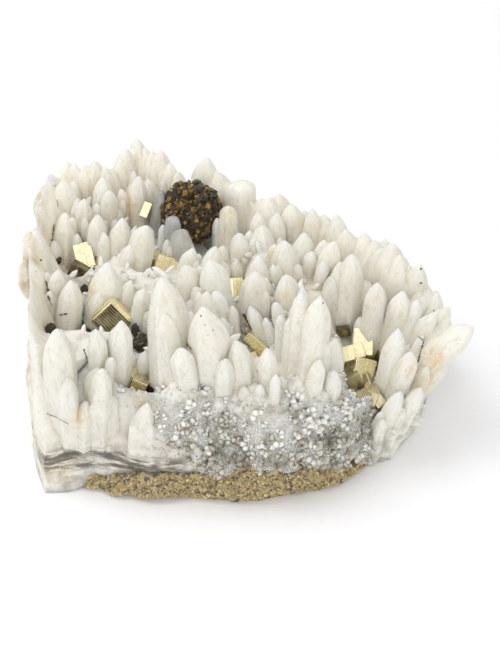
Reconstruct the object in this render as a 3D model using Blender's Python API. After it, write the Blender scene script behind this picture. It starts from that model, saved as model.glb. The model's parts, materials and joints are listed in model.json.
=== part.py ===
"""Pyrite with quartz: a hand specimen of milky quartz crystals with pyrite.

A slab of granular pyrite carries a crust of milky quartz, from which six-sided
quartz crystals of all sizes grow close together.  Crystals of pyrite and lumps of
a brown mineral sit in pockets between them.  The slab rests flat on z = 0, with the
origin near the middle of its underside.  +X is to the right and +Y is to the back,
as the specimen is seen from the front.

Crystals that can be told apart are placed by where their tip and foot stand in a
picture of 500 x 646 pixels, taken from the front at 40 degrees above level.  The
crystals between and behind them are grown by rule.
"""

import math
import random
from typing import NamedTuple

import bmesh
import bpy
from mathutils import Matrix, Vector
from mathutils.bvhtree import BVHTree

MM = 0.001

# Driving sizes
SEATING_GAP = 0.3 * MM
OUTLINE_COUNT = 48
MATRIX_MIDDLE_HEIGHT = 14.0 * MM
UNDERCUT = 2.5 * MM
CRUST_MIDDLE_HEIGHT = 38.0 * MM
CRUST_UNDERSIDE = 6.0 * MM
CRUST_SIDE_FOOT = 3.0 * MM
FRONT_SLOPE_BACK = 13.0 * MM
SIDE_SLOPE_BACK = 4.0 * MM
LEFT_WALL_RISE = 14.0 * MM
SHOULDER_RISE = 2.0 * MM
SHOULDER_SHARE = 0.87
INNER_RING_SHARE = 0.5
UNDERSIDE_SHARE = 0.55
MATRIX_ROUGHNESS = 0.8 * MM
CRUST_ROUGHNESS = 1.0 * MM
SEED = 7

# Faces that meet at less than this are one flat face
FLAT_ENOUGH = math.radians(3.5)

# The quartz that hangs down over the slab at the sides and back
SKIRT_THICKNESS = 3.2 * MM
SKIRT_CLEARANCE = 0.8 * MM
SKIRT_FOOT = 0.2 * MM
GROUND_SIDE = 300.0 * MM
GROUND_DEPTH = 50.0 * MM

# Shape of a quartz crystal: shares of its radius, of its length or of its point
CRYSTAL_ROOT = 7.0 * MM
ROOT_SHOULDER = 3.0 * MM
ROOT_SHARE = 0.4
TAPER = (0.06, 0.16)
POINT_LENGTH = (1.25, 1.75)
FULL_POINT_LENGTH = (1.7, 2.1)
APEX_WANDER = 0.16
CORNER_TURN = 0.09
CORNER_REACH = (0.9, 1.1)
FACE_ALTERNATION = 0.24
POINT_STEP = 0.56
POINT_FULLNESS = 0.24
BLUNT_DEPTH = 0.2
BLUNT_SHARE = 0.62

# Crystals grown by rule between the ones that can be told apart
FILL_SPACING = 11.2 * MM
FILL_WANDER = 0.25
FILL_MARGIN = 5.0 * MM
FILL_RADIUS = (3.5 * MM, 5.2 * MM)
FILL_HEIGHT = (17.0 * MM, 28.0 * MM)
FILL_SWAY = 0.08
FILL_LEAN = (0.3, 0.2)
FILL_SHRINKS = (1.0, 0.85, 0.7, 0.55)
FIELD_SIZE = (150.0 * MM, 120.0 * MM)
CLOSEST = 0.62
SKYLINE_MARGIN = 7.0

# Short crystals on the walls, a little larger where the picture does not reach
WALL_CRYSTAL_COUNT = 26
WALL_STRIDE = 7
WALL_RADIUS = (1.5 * MM, 2.9 * MM)
WALL_LENGTH = (4.0 * MM, 9.0 * MM)
HIDDEN_RADIUS_MORE = 1.2 * MM
HIDDEN_LENGTH_MORE = 5.0 * MM
WALL_LEVELS = (0.35, 0.98)
WALL_CLEARANCE = 3.0 * MM

# The view in which the pixels below were read
PICTURE_CENTRE = (250.0, 323.0)
PIXELS_PER_MM = 3.0
VIEW_DISTANCE = 620.0 * MM
VIEW_ELEVATION = math.radians(40.0)
VIEW_AIM = Vector((0.0, 0.0, 22.0 * MM))
FOCAL_PIXELS = PIXELS_PER_MM * VIEW_DISTANCE / MM
FOOT_LEVEL = 28.0 * MM

VIEW_RIGHT = Vector((1.0, 0.0, 0.0))
VIEW_UP = Vector((0.0, math.sin(VIEW_ELEVATION), math.cos(VIEW_ELEVATION)))
TOWARDS_VIEWER = Vector((0.0, -math.cos(VIEW_ELEVATION), math.sin(VIEW_ELEVATION)))
VIEWPOINT = VIEW_AIM + TOWARDS_VIEWER * VIEW_DISTANCE
VIEW_BASIS = Matrix((VIEW_RIGHT, VIEW_UP, TOWARDS_VIEWER)).transposed()

# A six-sided crystal is seen between 1.73 and 2 corner radii wide
SEEN_WIDTH = 1.9

# Bodies of the back row are broader than the points that show of them
BACK_BREADTH = 1.6

# How far tips are set back from their feet along the line of sight, in mm, by row
BACK_LEAN = (2.0, 9.0)
MIDDLE_LEAN = (-3.0, 4.0)
FRONT_LEAN = (-2.5, 1.0)

# How deep the axis of a front crystal stands in the wall, in radii
WALL_SINK = 0.9

# Plan of the specimen, in mm, from the front left corner round by the right
OUTLINE = (
    (-66, -59), (-48, -58), (-31, -62), (-15, -62), (2, -64), (16, -60), (26, -57),
    (35, -51), (44, -44), (50, -38), (56, -27), (60, -15), (61, -3), (56, 7),
    (44, 15), (30, 23), (12, 32), (-6, 41), (-22, 48), (-38, 54), (-52, 55),
    (-64, 52), (-71, 42), (-74, 25), (-74, 2), (-73, -24), (-71, -44),
)

# Middle of the plan, under which the slab's flat underside is centred
PLAN_MIDDLE = Vector((-14.0 * MM, -6.0 * MM, 0.0))

# Height of the granular pyrite along the front wall: (x, height) in mm
MATRIX_FRONT_HEIGHTS = (
    (-70, 4), (-48, 6), (-34, 9), (-15, 10.5), (-4, 13), (4, 19), (14, 13), (24, 9),
    (34, 5), (60, 5),
)

# Height of the slab at the sides and back in mm, and how far it swings up and down
MATRIX_SIDE_HEIGHT = 9.0
MATRIX_SIDE_SWING = 2.5

# Height of the crust's upper edge in mm, over the crust's width: (x, height)
CRUST_EDGE_HEIGHTS = ((-80, 32.4), (-30, 28.0), (20, 28.0), (70, 15.5))

# Stretch of the front wall, in mm, where the granular pyrite shows below the quartz,
# and the length over which the quartz closes over it at either end
BARE_STRETCH = (-55.0, 40.0)
BARE_FADE = 8.0

# Left of this place the front wall is smooth broken quartz, with no crystals on it
SMOOTH_WALL_END = -18.0 * MM


class Crystal(NamedTuple):
    """One quartz crystal that can be seen: pixels, and the tip's set-back in mm."""
    tip: tuple
    foot: tuple
    width: float
    back: float = 0.0
    blunt: bool = False


# Crystals whose tips stand out at the back, from the left to the right
BACK_CRYSTALS = (
    Crystal(tip=(55, 178), foot=(56, 240), width=14),
    Crystal(tip=(67, 161), foot=(68, 232), width=12),
    Crystal(tip=(75, 163), foot=(76, 236), width=10),
    Crystal(tip=(86, 165), foot=(86, 238), width=12),
    Crystal(tip=(95, 161), foot=(96, 236), width=12),
    Crystal(tip=(106, 166), foot=(106, 240), width=14),
    Crystal(tip=(125, 148), foot=(124, 226), width=16),
    Crystal(tip=(139, 138), foot=(140, 222), width=17),
    Crystal(tip=(160, 150), foot=(158, 230), width=15),
    Crystal(tip=(171, 163), foot=(170, 236), width=11),
    Crystal(tip=(178, 171), foot=(178, 240), width=11),
    Crystal(tip=(192, 177), foot=(191, 244), width=13),
    Crystal(tip=(207, 156), foot=(206, 236), width=18),
    Crystal(tip=(241, 180), foot=(240, 252), width=21, blunt=True),
    Crystal(tip=(268, 196), foot=(267, 262), width=22),
    Crystal(tip=(280, 193), foot=(280, 264), width=18),
    Crystal(tip=(292, 204), foot=(292, 268), width=13),
    Crystal(tip=(306, 210), foot=(306, 272), width=13),
    Crystal(tip=(313, 208), foot=(314, 274), width=13),
    Crystal(tip=(325, 214), foot=(325, 280), width=15),
    Crystal(tip=(336, 214), foot=(336, 282), width=14),
    Crystal(tip=(348, 230), foot=(346, 290), width=14),
    Crystal(tip=(366, 232), foot=(363, 296), width=20),
    Crystal(tip=(391, 243), foot=(386, 318), width=20),
    Crystal(tip=(421, 264), foot=(402, 332), width=15),
    Crystal(tip=(437, 291), foot=(418, 350), width=13),
    Crystal(tip=(450, 307), foot=(424, 364), width=14),
    Crystal(tip=(473, 325), foot=(426, 386), width=18),
)

# Crystals that stand between the back row and the front row
MIDDLE_CRYSTALS = (
    Crystal(tip=(66, 213), foot=(66, 275), width=25),
    Crystal(tip=(97, 214), foot=(97, 278), width=22),
    Crystal(tip=(84, 199), foot=(84, 262), width=18),
    Crystal(tip=(121, 218), foot=(120, 284), width=21),
    Crystal(tip=(110, 190), foot=(110, 256), width=18),
    Crystal(tip=(149, 225), foot=(135, 296), width=27),
    Crystal(tip=(138, 176), foot=(138, 250), width=20),
    Crystal(tip=(163, 190), foot=(155, 252), width=12),
    Crystal(tip=(173, 217), foot=(172, 280), width=17, blunt=True),
    Crystal(tip=(181, 228), foot=(183, 288), width=20),
    Crystal(tip=(192, 248), foot=(182, 316), width=18),
    Crystal(tip=(214, 246), foot=(205, 324), width=24),
    Crystal(tip=(228, 206), foot=(228, 270), width=20),
    Crystal(tip=(240, 232), foot=(238, 296), width=21),
    Crystal(tip=(258, 212), foot=(258, 280), width=18),
    Crystal(tip=(261, 256), foot=(255, 326), width=25),
    Crystal(tip=(273, 265), foot=(276, 326), width=11),
    Crystal(tip=(283, 241), foot=(285, 312), width=25),
    Crystal(tip=(303, 232), foot=(303, 298), width=20),
    Crystal(tip=(324, 240), foot=(323, 304), width=22),
    Crystal(tip=(340, 262), foot=(334, 326), width=18),
    Crystal(tip=(354, 254), foot=(345, 328), width=24),
    Crystal(tip=(378, 282), foot=(370, 344), width=22),
    Crystal(tip=(403, 292), foot=(388, 350), width=22),
    Crystal(tip=(418, 300), foot=(396, 356), width=17),
    Crystal(tip=(108, 264), foot=(108, 330), width=35),
    Crystal(tip=(58, 271), foot=(56, 332), width=18),
    Crystal(tip=(73, 281), foot=(68, 344), width=25),
    Crystal(tip=(143, 290), foot=(141, 346), width=17),
    Crystal(tip=(276, 302), foot=(282, 356), width=13),
    Crystal(tip=(250, 306), foot=(262, 358), width=17),
    Crystal(tip=(232, 305), foot=(234, 358), width=14),
    Crystal(tip=(361, 317), foot=(359, 344), width=16, back=5),
)

# Crystals along the front edge and down the front wall
FRONT_CRYSTALS = (
    Crystal(tip=(58, 329), foot=(64, 425), width=33),
    Crystal(tip=(97, 328), foot=(99, 396), width=22),
    Crystal(tip=(121, 321), foot=(119, 392), width=22),
    Crystal(tip=(103, 368), foot=(99, 446), width=21),
    Crystal(tip=(130, 350), foot=(129, 376), width=15),
    Crystal(tip=(144, 352), foot=(143, 378), width=17),
    Crystal(tip=(163, 275), foot=(172, 404), width=42, back=11),
    Crystal(tip=(206, 307), foot=(215, 406), width=39, back=2),
    Crystal(tip=(302, 292), foot=(293, 400), width=22, back=4),
    Crystal(tip=(319, 296), foot=(303, 404), width=30, back=4),
    Crystal(tip=(238, 340), foot=(243, 410), width=24),
    Crystal(tip=(268, 348), foot=(268, 412), width=20),
    Crystal(tip=(334, 370), foot=(330, 418), width=17),
    Crystal(tip=(398, 330), foot=(384, 400), width=26),
    Crystal(tip=(435, 311), foot=(392, 376), width=22),
    Crystal(tip=(412, 352), foot=(386, 418), width=22),
    Crystal(tip=(428, 366), foot=(402, 420), width=16),
    Crystal(tip=(420, 388), foot=(386, 448), width=19),
    Crystal(tip=(400, 392), foot=(376, 446), width=19),
    Crystal(tip=(86, 402), foot=(82, 446), width=22),
    Crystal(tip=(146, 404), foot=(142, 450), width=20),
)


class Block(NamedTuple):
    """One pyrite crystal, a block: pixel, how far its middle stands off the crust
    and its sides in mm, and its turns in degrees."""
    at: tuple
    proud: float
    size: tuple
    turns: tuple = ()


class Lump(NamedTuple):
    """One rough lump: pixel, how far its middle stands off the crust and radii in mm."""
    at: tuple
    proud: float
    radii: tuple


# A lump has one more step of fineness for each of these radii, in mm, that it passes
LUMP_FINENESS_LIMITS = (0.0, 3.0, 8.0)
LUMP_ROUGHNESS = 0.07

# Crystals and lumps between the quartz, each sunk a little in the crust behind it
INCLUSIONS = {
    "pyrite_cube_striated": (
        Block(at=(112, 317), proud=5.4, size=(10.0, 10.0, 9.0), turns=(("X", 14), ("Z", 43))),
    ),
    "pyrite_crystal_upper_left": (
        Block(at=(84, 264), proud=5.0, size=(7.5, 9.0, 8.0), turns=(("Z", 32), ("Y", -42))),
    ),
    "pyrite_block_middle": (
        Block(at=(165, 266), proud=4.4, size=(10.0, 7.5, 8.0), turns=(("Z", -18), ("X", 8))),
    ),
    "pyrite_crystal_small": (
        Block(at=(234, 288), proud=2.2, size=(5.0, 6.5, 5.5), turns=(("Z", 4), ("Y", 12))),
    ),
    "pyrite_crystal_back": (
        Block(at=(146, 210), proud=2.2, size=(3.6, 6.2, 5.0), turns=(("Z", -22),)),
    ),
    "pyrite_crystal_back_low": (
        Block(at=(138, 223), proud=9.0, size=(3.8, 6.0, 5.0), turns=(("Z", -35), ("Y", 20))),
    ),
    "pyrite_plate_middle": (
        Block(at=(248, 322), proud=1.8, size=(2.4, 6.0, 6.0), turns=(("Z", 28), ("Y", 10))),
        Block(at=(257, 341), proud=1.8, size=(7.5, 3.2, 6.0), turns=(("Z", -42), ("X", 25))),
    ),
    "pyrite_grains_middle": (
        Block(at=(249, 360), proud=1.4, size=(4.2, 4.0, 5.0), turns=(("Z", 20), ("Y", 30))),
        Block(at=(253, 369), proud=1.2, size=(2.6, 2.8, 4.0), turns=(("Z", 40),)),
    ),
    "pyrite_cluster_right": (
        Block(at=(363, 344), proud=6.4, size=(7.0, 8.2, 7.0), turns=(("Z", 8), ("Y", -16))),
        Block(at=(352, 352), proud=5.6, size=(7.0, 4.6, 6.0), turns=(("Z", 20), ("X", -20))),
        Block(at=(358, 369), proud=4.4, size=(6.4, 7.0, 6.0), turns=(("Z", -14), ("Y", 25))),
        Block(at=(353, 379), proud=3.4, size=(4.6, 5.0, 5.0), turns=(("Z", 30), ("X", 30))),
        Block(at=(359, 398), proud=2.4, size=(4.6, 4.4, 6.0), turns=(("Z", 24), ("Y", 30))),
        Block(at=(370, 395), proud=2.8, size=(5.0, 5.0, 6.0), turns=(("Z", -18), ("X", 24))),
        Block(at=(378, 400), proud=1.4, size=(3.6, 4.2, 5.0), turns=(("Z", 40),)),
    ),
    "pyrite_grains_left": (
        Block(at=(133, 372), proud=2.6, size=(3.8, 4.4, 5.0), turns=(("Z", 16), ("Y", 24))),
        Block(at=(140, 383), proud=3.0, size=(4.6, 4.2, 5.0), turns=(("Z", -24), ("X", 30))),
        Block(at=(132, 394), proud=2.4, size=(3.8, 4.0, 5.0), turns=(("Z", 38),)),
        Block(at=(154, 387), proud=2.4, size=(3.0, 5.6, 5.0), turns=(("Z", -8), ("Y", 34))),
    ),
    "brown_nodule": (
        Lump(at=(191, 212), proud=9.0, radii=(10.6, 10.4, 10.2)),
    ),
    "brown_lump_left": (
        Lump(at=(142, 343), proud=1.2, radii=(3.0, 3.0, 3.2)),
    ),
    "brown_lump_beside_cube": (
        Lump(at=(136, 331), proud=1.0, radii=(1.6, 2.2, 3.2)),
    ),
    "brown_strip_left": (
        Lump(at=(85, 298), proud=0.8, radii=(1.8, 2.6, 5.2)),
    ),
    "brown_bit_front_left_upper": (
        Lump(at=(51, 331), proud=0.8, radii=(2.2, 2.4, 2.6)),
    ),
    "brown_bit_front_left_lower": (
        Lump(at=(47, 343), proud=0.8, radii=(1.7, 2.2, 2.8)),
    ),
    "brown_bit_left": (
        Lump(at=(76, 326), proud=0.8, radii=(3.8, 2.6, 1.8)),
    ),
    "brown_bit_left_of_cube": (
        Lump(at=(86, 336), proud=0.8, radii=(1.9, 2.2, 3.0)),
    ),
    "brown_bit_upper_left": (
        Lump(at=(55.5, 260), proud=0.8, radii=(2.2, 2.2, 1.5)),
    ),
    "pyrite_grains_right": (
        Block(at=(351, 319), proud=4.2, size=(2.8, 5.6, 5.0), turns=(("Z", -30),)),
        Block(at=(343, 330), proud=2.2, size=(4.2, 3.4, 5.0), turns=(("Z", 12), ("X", 20))),
    ),
}


# Sight lines

def sight_direction(pixel):
    """Direction from the viewpoint through a pixel of the picture."""
    across = (pixel[0] - PICTURE_CENTRE[0]) / FOCAL_PIXELS
    up = (PICTURE_CENTRE[1] - pixel[1]) / FOCAL_PIXELS
    return (VIEW_RIGHT * across + VIEW_UP * up - TOWARDS_VIEWER).normalized()


def place_at_depth(pixel, depth):
    """The place on a pixel's sight line whose Y is depth, in metres."""
    direction = sight_direction(pixel)
    return VIEWPOINT + direction * ((depth - VIEWPOINT.y) / direction.y)


def place_at_height(pixel, height):
    """The place on a pixel's sight line whose Z is height, in metres."""
    direction = sight_direction(pixel)
    return VIEWPOINT + direction * ((height - VIEWPOINT.z) / direction.z)


def picture_place(point):
    """Pixel at which a point of the frame is seen, and the pixels in a metre there."""
    away = point - VIEWPOINT
    distance = -away.dot(TOWARDS_VIEWER)
    scale = FOCAL_PIXELS / distance
    across = PICTURE_CENTRE[0] + away.dot(VIEW_RIGHT) * scale
    down = PICTURE_CENTRE[1] - away.dot(VIEW_UP) * scale
    return across, down, scale


# Plan and heights

def along(pairs, x):
    """Value at x on a line through (x, value) pairs."""
    if x <= pairs[0][0]:
        return pairs[0][1]
    for (x0, v0), (x1, v1) in zip(pairs, pairs[1:]):
        if x <= x1:
            return v0 + (v1 - v0) * (x - x0) / (x1 - x0)
    return pairs[-1][1]


def outline_ring():
    """Evenly spaced (point, outward direction) pairs round the plan, in metres."""
    corners = [Vector(corner) * MM for corner in OUTLINE]
    sides = list(zip(corners, corners[1:] + corners[:1]))
    total = sum((end - start).length for start, end in sides)
    ring = []
    for index in range(OUTLINE_COUNT):
        left = total * index / OUTLINE_COUNT
        for start, end in sides:
            length = (end - start).length
            if left <= length:
                ring.append(start.lerp(end, left / length))
                break
            left -= length
    result = []
    for index, point in enumerate(ring):
        step = ring[(index + 1) % OUTLINE_COUNT] - ring[index - 1]
        result.append((point, Vector((step.y, -step.x)).normalized()))
    return result


def matrix_height(point, outward):
    """Height of the granular pyrite at a place on the plan's edge."""
    front = max(0.0, -outward.y)
    front_height = along(MATRIX_FRONT_HEIGHTS, point.x / MM)
    swing = MATRIX_SIDE_SWING * math.sin(point.x / MM * 0.11 + point.y / MM * 0.17)
    side_height = MATRIX_SIDE_HEIGHT + swing
    return (front * front_height + (1.0 - front) * side_height) * MM


def crust_height(point):
    """Height of the crust's upper edge, lower towards the right end."""
    return along(CRUST_EDGE_HEIGHTS, point.x / MM) * MM


def bare_share(point, outward):
    """1 where the granular pyrite shows at the wall, 0 where quartz covers it."""
    if outward.y > -0.5:
        return 0.0
    inside = min(point.x / MM - BARE_STRETCH[0], BARE_STRETCH[1] - point.x / MM)
    return min(1.0, max(0.0, inside / BARE_FADE))


def left_share(outward):
    """1 on the broken left face, 0 elsewhere."""
    return min(1.0, max(0.0, (-outward.x - 0.75) / 0.2))


def slope_back(outward):
    """How far the upper edge stands in from the foot of the wall."""
    front = max(0.0, -outward.y)
    return SIDE_SLOPE_BACK + (FRONT_SLOPE_BACK - SIDE_SLOPE_BACK) * front * front


# Solids

def new_object(name, bm, collection=None):
    """Object from a bmesh, with its faces turned outwards."""
    bmesh.ops.recalc_face_normals(bm, faces=bm.faces)
    mesh = bpy.data.meshes.new(name)
    bm.to_mesh(mesh)
    bm.free()
    piece = bpy.data.objects.new(name, mesh)
    (collection or bpy.context.scene.collection).objects.link(piece)
    return piece


def stacked_rings(rings, bottom, top):
    """Closed bmesh of rings of equal count, ended by a bottom and a top point."""
    bm = bmesh.new()
    rows = [[bm.verts.new(point) for point in ring] for ring in rings]
    low = bm.verts.new(bottom)
    high = bm.verts.new(top)
    count = len(rings[0])
    for lower, upper in zip(rows, rows[1:]):
        for index in range(count):
            after = (index + 1) % count
            bm.faces.new((lower[index], lower[after], upper[after], upper[index]))
    for index in range(count):
        after = (index + 1) % count
        bm.faces.new((low, rows[0][after], rows[0][index]))
        bm.faces.new((high, rows[-1][index], rows[-1][after]))
    bmesh.ops.triangulate(bm, faces=bm.faces, quad_method="SHORT_EDGE")
    return bm


def matrix_rings(grow):
    """Rings of the granular pyrite, with every side moved out by grow."""
    rng = random.Random(SEED)
    ring = outline_ring()
    rows = [[], [], [], [], []]
    for point, outward in ring:
        height = matrix_height(point, outward)
        rough = [rng.uniform(-1.0, 1.0) * MATRIX_ROUGHNESS for _ in range(3)]
        inset = slope_back(outward) * 0.18
        cover = (1.0 - bare_share(point, outward)) * SKIRT_THICKNESS
        levels = (
            (-UNDERCUT - rough[0] - cover, -grow),
            (rough[1] - cover, 0.32 * height),
            (-0.5 * inset + rough[2] - cover, 0.7 * height),
            (-inset - cover, height + grow),
        )
        for row, (offset, z) in zip(rows, levels):
            flat = point + outward * (offset + grow)
            row.append(Vector((flat.x, flat.y, z)))
        inner = point * UNDERSIDE_SHARE
        middle = MATRIX_MIDDLE_HEIGHT + rng.uniform(-1.0, 1.0) * MATRIX_ROUGHNESS
        rows[4].append(Vector((inner.x, inner.y, middle + grow)))
    return rows


def matrix_solid(name, grow=0.0, collection=None):
    """The granular pyrite slab, flat below and rough at its sides."""
    low = PLAN_MIDDLE - Vector((0.0, 0.0, grow))
    high = PLAN_MIDDLE + Vector((0.0, 0.0, MATRIX_MIDDLE_HEIGHT + grow))
    return new_object(name, stacked_rings(matrix_rings(grow), low, high), collection)


def crust_solid(name):
    """The quartz crust: its foot is sunk in the slab, which is cut from it later."""
    rng = random.Random(SEED + 1)
    rows = [[], [], [], [], [], [], []]
    for point, outward in outline_ring():
        bare = bare_share(point, outward)
        base = bare * matrix_height(point, outward) + (1.0 - bare) * CRUST_SIDE_FOOT
        left = left_share(outward)
        top = crust_height(point)
        rim = top + left * LEFT_WALL_RISE
        inset = slope_back(outward)
        rough = [rng.uniform(-1.0, 1.0) * CRUST_ROUGHNESS for _ in range(5)]
        foot = bare * (base - 2.0 * MM) + (1.0 - bare) * SKIRT_FOOT
        levels = (
            (-bare * (1.5 * MM + 0.2 * inset) - (1.0 - bare) * 1.2 * MM, foot),
            (-0.25 * inset + rough[0], base + 0.3 * (rim - base)),
            (-0.55 * inset + rough[1], base + 0.65 * (rim - base)),
            (-inset + rough[2], rim),
        )
        deep = point * UNDERSIDE_SHARE
        rows[0].append(Vector((deep.x, deep.y, CRUST_UNDERSIDE)))
        for row, (offset, z) in zip(rows[1:], levels):
            flat = point + outward * offset
            row.append(Vector((flat.x, flat.y, z)))
        shoulder = flat * SHOULDER_SHARE
        rows[5].append(Vector((shoulder.x, shoulder.y, top + SHOULDER_RISE + rough[3])))
        inner = flat * INNER_RING_SHARE
        middle = 0.3 * top + 0.7 * CRUST_MIDDLE_HEIGHT
        rows[6].append(Vector((inner.x, inner.y, middle + rough[4])))
    low = Vector((0.0, 0.0, CRUST_UNDERSIDE))
    high = Vector((0.0, 0.0, CRUST_MIDDLE_HEIGHT))
    return new_object(name, stacked_rings(rows, low, high))


def quartz_crystal(stem, rng, collection):
    """A six-sided quartz crystal whose edges run slightly together to its point."""
    foot, tip, radius, blunt, full = stem
    length = (tip - foot).length
    axis = (tip - foot) / length
    root = foot - axis * CRYSTAL_ROOT
    base = foot - axis * ROOT_SHOULDER
    side = axis.orthogonal().normalized()
    side = Matrix.Rotation(rng.uniform(0.0, math.tau), 3, axis) @ side
    other = axis.cross(side)
    taper = rng.uniform(*TAPER)
    shoulder = length - radius * rng.uniform(*(FULL_POINT_LENGTH if full else POINT_LENGTH))
    wander = side * rng.uniform(-1, 1) + other * rng.uniform(-1, 1)
    apex = tip + wander * radius * APEX_WANDER
    bm = bmesh.new()
    rows = [[], [], []]
    for corner in range(6):
        angle = math.tau * corner / 6 + rng.uniform(-CORNER_TURN, CORNER_TURN)
        outwards = (side * math.cos(angle) + other * math.sin(angle)) * radius
        outwards *= rng.uniform(*CORNER_REACH)
        alternate = FACE_ALTERNATION if corner % 2 else -FACE_ALTERNATION
        reach = shoulder + radius * alternate * rng.uniform(0.4, 1.2)
        corner_top = foot + axis * reach + outwards * (1.0 - taper * reach / length)
        rows[0].append(bm.verts.new(root + outwards * ROOT_SHARE))
        rows[1].append(bm.verts.new(base + outwards * (1.0 + taper * ROOT_SHOULDER / length)))
        rows[2].append(bm.verts.new(corner_top))
    if full or blunt:
        row = []
        flat_top = foot + axis * (length - BLUNT_DEPTH * radius)
        for vert in rows[2]:
            step = vert.co.lerp(apex, POINT_STEP)
            away = (vert.co if blunt else step) - foot
            sideways = away - axis * away.dot(axis)
            place = flat_top + sideways * BLUNT_SHARE if blunt else step + sideways * POINT_FULLNESS
            row.append(bm.verts.new(place))
        rows.append(row)
    if blunt:
        bm.faces.new(row)
    bm.faces.new(rows[0][::-1])
    point = None if blunt else bm.verts.new(apex)
    for level, (lower, upper) in enumerate(zip(rows, rows[1:])):
        for corner in range(6):
            after = (corner + 1) % 6
            face = bm.faces.new((lower[corner], lower[after], upper[after], upper[corner]))
            if level == 2:
                bmesh.ops.triangulate(bm, faces=[face])
    if point:
        for corner in range(6):
            bm.faces.new((rows[-1][corner], rows[-1][(corner + 1) % 6], point))
    return new_object("crystal", bm, collection)


def ground_solid(collection):
    """Everything below the quartz skirt, cut away so that the slab alone rests."""
    bm = bmesh.new()
    bmesh.ops.create_cube(bm, size=1.0)
    bmesh.ops.scale(bm, vec=(GROUND_SIDE, GROUND_SIDE, GROUND_DEPTH), verts=bm.verts)
    middle = (0.0, 0.0, SKIRT_CLEARANCE - GROUND_DEPTH / 2)
    bmesh.ops.translate(bm, vec=middle, verts=bm.verts)
    return new_object("ground", bm, collection)


def block_solid(block, centre, grow, collection):
    """A pyrite block, larger by grow on each side."""
    bm = bmesh.new()
    bmesh.ops.create_cube(bm, size=1.0)
    size = [side * MM + 2.0 * grow for side in block.size]
    bmesh.ops.scale(bm, vec=size, verts=bm.verts)
    turn = VIEW_BASIS.copy()
    for axis, degrees in block.turns:
        turn = turn @ Matrix.Rotation(math.radians(degrees), 3, axis)
    bmesh.ops.rotate(bm, matrix=turn, verts=bm.verts)
    bmesh.ops.translate(bm, vec=centre, verts=bm.verts)
    return new_object("block", bm, collection)


def lump_solid(lump, centre, grow, collection):
    """A rough round lump, larger by grow on each side."""
    rng = random.Random(SEED + int(lump.at[0]))
    largest = max(lump.radii)
    fine = sum(largest > limit for limit in LUMP_FINENESS_LIMITS)
    bm = bmesh.new()
    bmesh.ops.create_icosphere(bm, subdivisions=fine, radius=1.0)
    for vert in bm.verts:
        outwards = vert.co.normalized()
        knob = 1.0 + rng.uniform(-LUMP_ROUGHNESS, LUMP_ROUGHNESS)
        size = Vector([outwards[i] * lump.radii[i] * MM * knob for i in range(3)])
        vert.co = centre + size + outwards * grow
    return new_object("lump", bm, collection)


# Booleans

def working_collection(name):
    """Collection for parts that are used up by a Boolean."""
    collection = bpy.data.collections.new(name)
    bpy.context.scene.collection.children.link(collection)
    return collection


def combine(piece, operation, collection):
    """Join or cut a piece with everything in a collection, then drop the collection."""
    modifier = piece.modifiers.new("combine", "BOOLEAN")
    modifier.operation = operation
    modifier.operand_type = "COLLECTION"
    modifier.collection = collection
    modifier.solver = "EXACT"
    graph = bpy.context.evaluated_depsgraph_get()
    mesh = bpy.data.meshes.new_from_object(piece.evaluated_get(graph))
    piece.modifiers.clear()
    piece.data = mesh
    for part in list(collection.objects):
        bpy.data.objects.remove(part)
    bpy.data.collections.remove(collection)


def keep_main_body(piece):
    """Delete sealed hollows and chips that a cut has parted from the main body."""
    bm = bmesh.new()
    bm.from_mesh(piece.data)
    bodies = []
    seen = set()
    for face in bm.faces:
        if face in seen:
            continue
        seen.add(face)
        body = [face]
        for member in body:
            for edge in member.edges:
                for neighbour in edge.link_faces:
                    if neighbour not in seen:
                        seen.add(neighbour)
                        body.append(neighbour)
        bodies.append(body)
    bodies.sort(key=len)
    spare = [face for body in bodies[:-1] for face in body]
    bmesh.ops.delete(bm, geom=spare, context="FACES")
    bmesh.ops.dissolve_limit(bm, angle_limit=FLAT_ENOUGH, verts=bm.verts, edges=bm.edges)
    bmesh.ops.triangulate(bm, faces=bm.faces)
    bm.to_mesh(piece.data)
    bm.free()


# Materials

def material(name, colour, roughness, metallic=0.0):
    """Plain surface of one colour."""
    made = bpy.data.materials.new(name)
    made.use_nodes = True
    shader = made.node_tree.nodes["Principled BSDF"]
    shader.inputs["Base Color"].default_value = (*colour, 1.0)
    shader.inputs["Roughness"].default_value = roughness
    shader.inputs["Metallic"].default_value = metallic
    return made


# The crystals

# Heights and distances from which a straight line is sure to start outside the quartz
ABOVE_ALL = 100.0 * MM
BESIDE_ALL = 40.0 * MM


class Stem(NamedTuple):
    """A crystal in the frame: foot and tip points and a radius, in metres."""
    foot: Vector
    tip: Vector
    radius: float
    blunt: bool = False
    full: bool = False


def surface_of(solids):
    """Search tree of the faces of several solids."""
    points = []
    faces = []
    for solid in solids:
        first = len(points)
        points += [vert.co for vert in solid.data.vertices]
        faces += [[first + corner for corner in face.vertices] for face in solid.data.polygons]
    return BVHTree.FromPolygons(points, faces)


def foot_on_crust(surface, place):
    """The crust's surface above or below a place, or the nearest part of its edge."""
    above = Vector((place.x, place.y, ABOVE_ALL))
    found = surface.ray_cast(above, Vector((0, 0, -1)))[0]
    return found or surface.find_nearest(place)[0]


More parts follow.
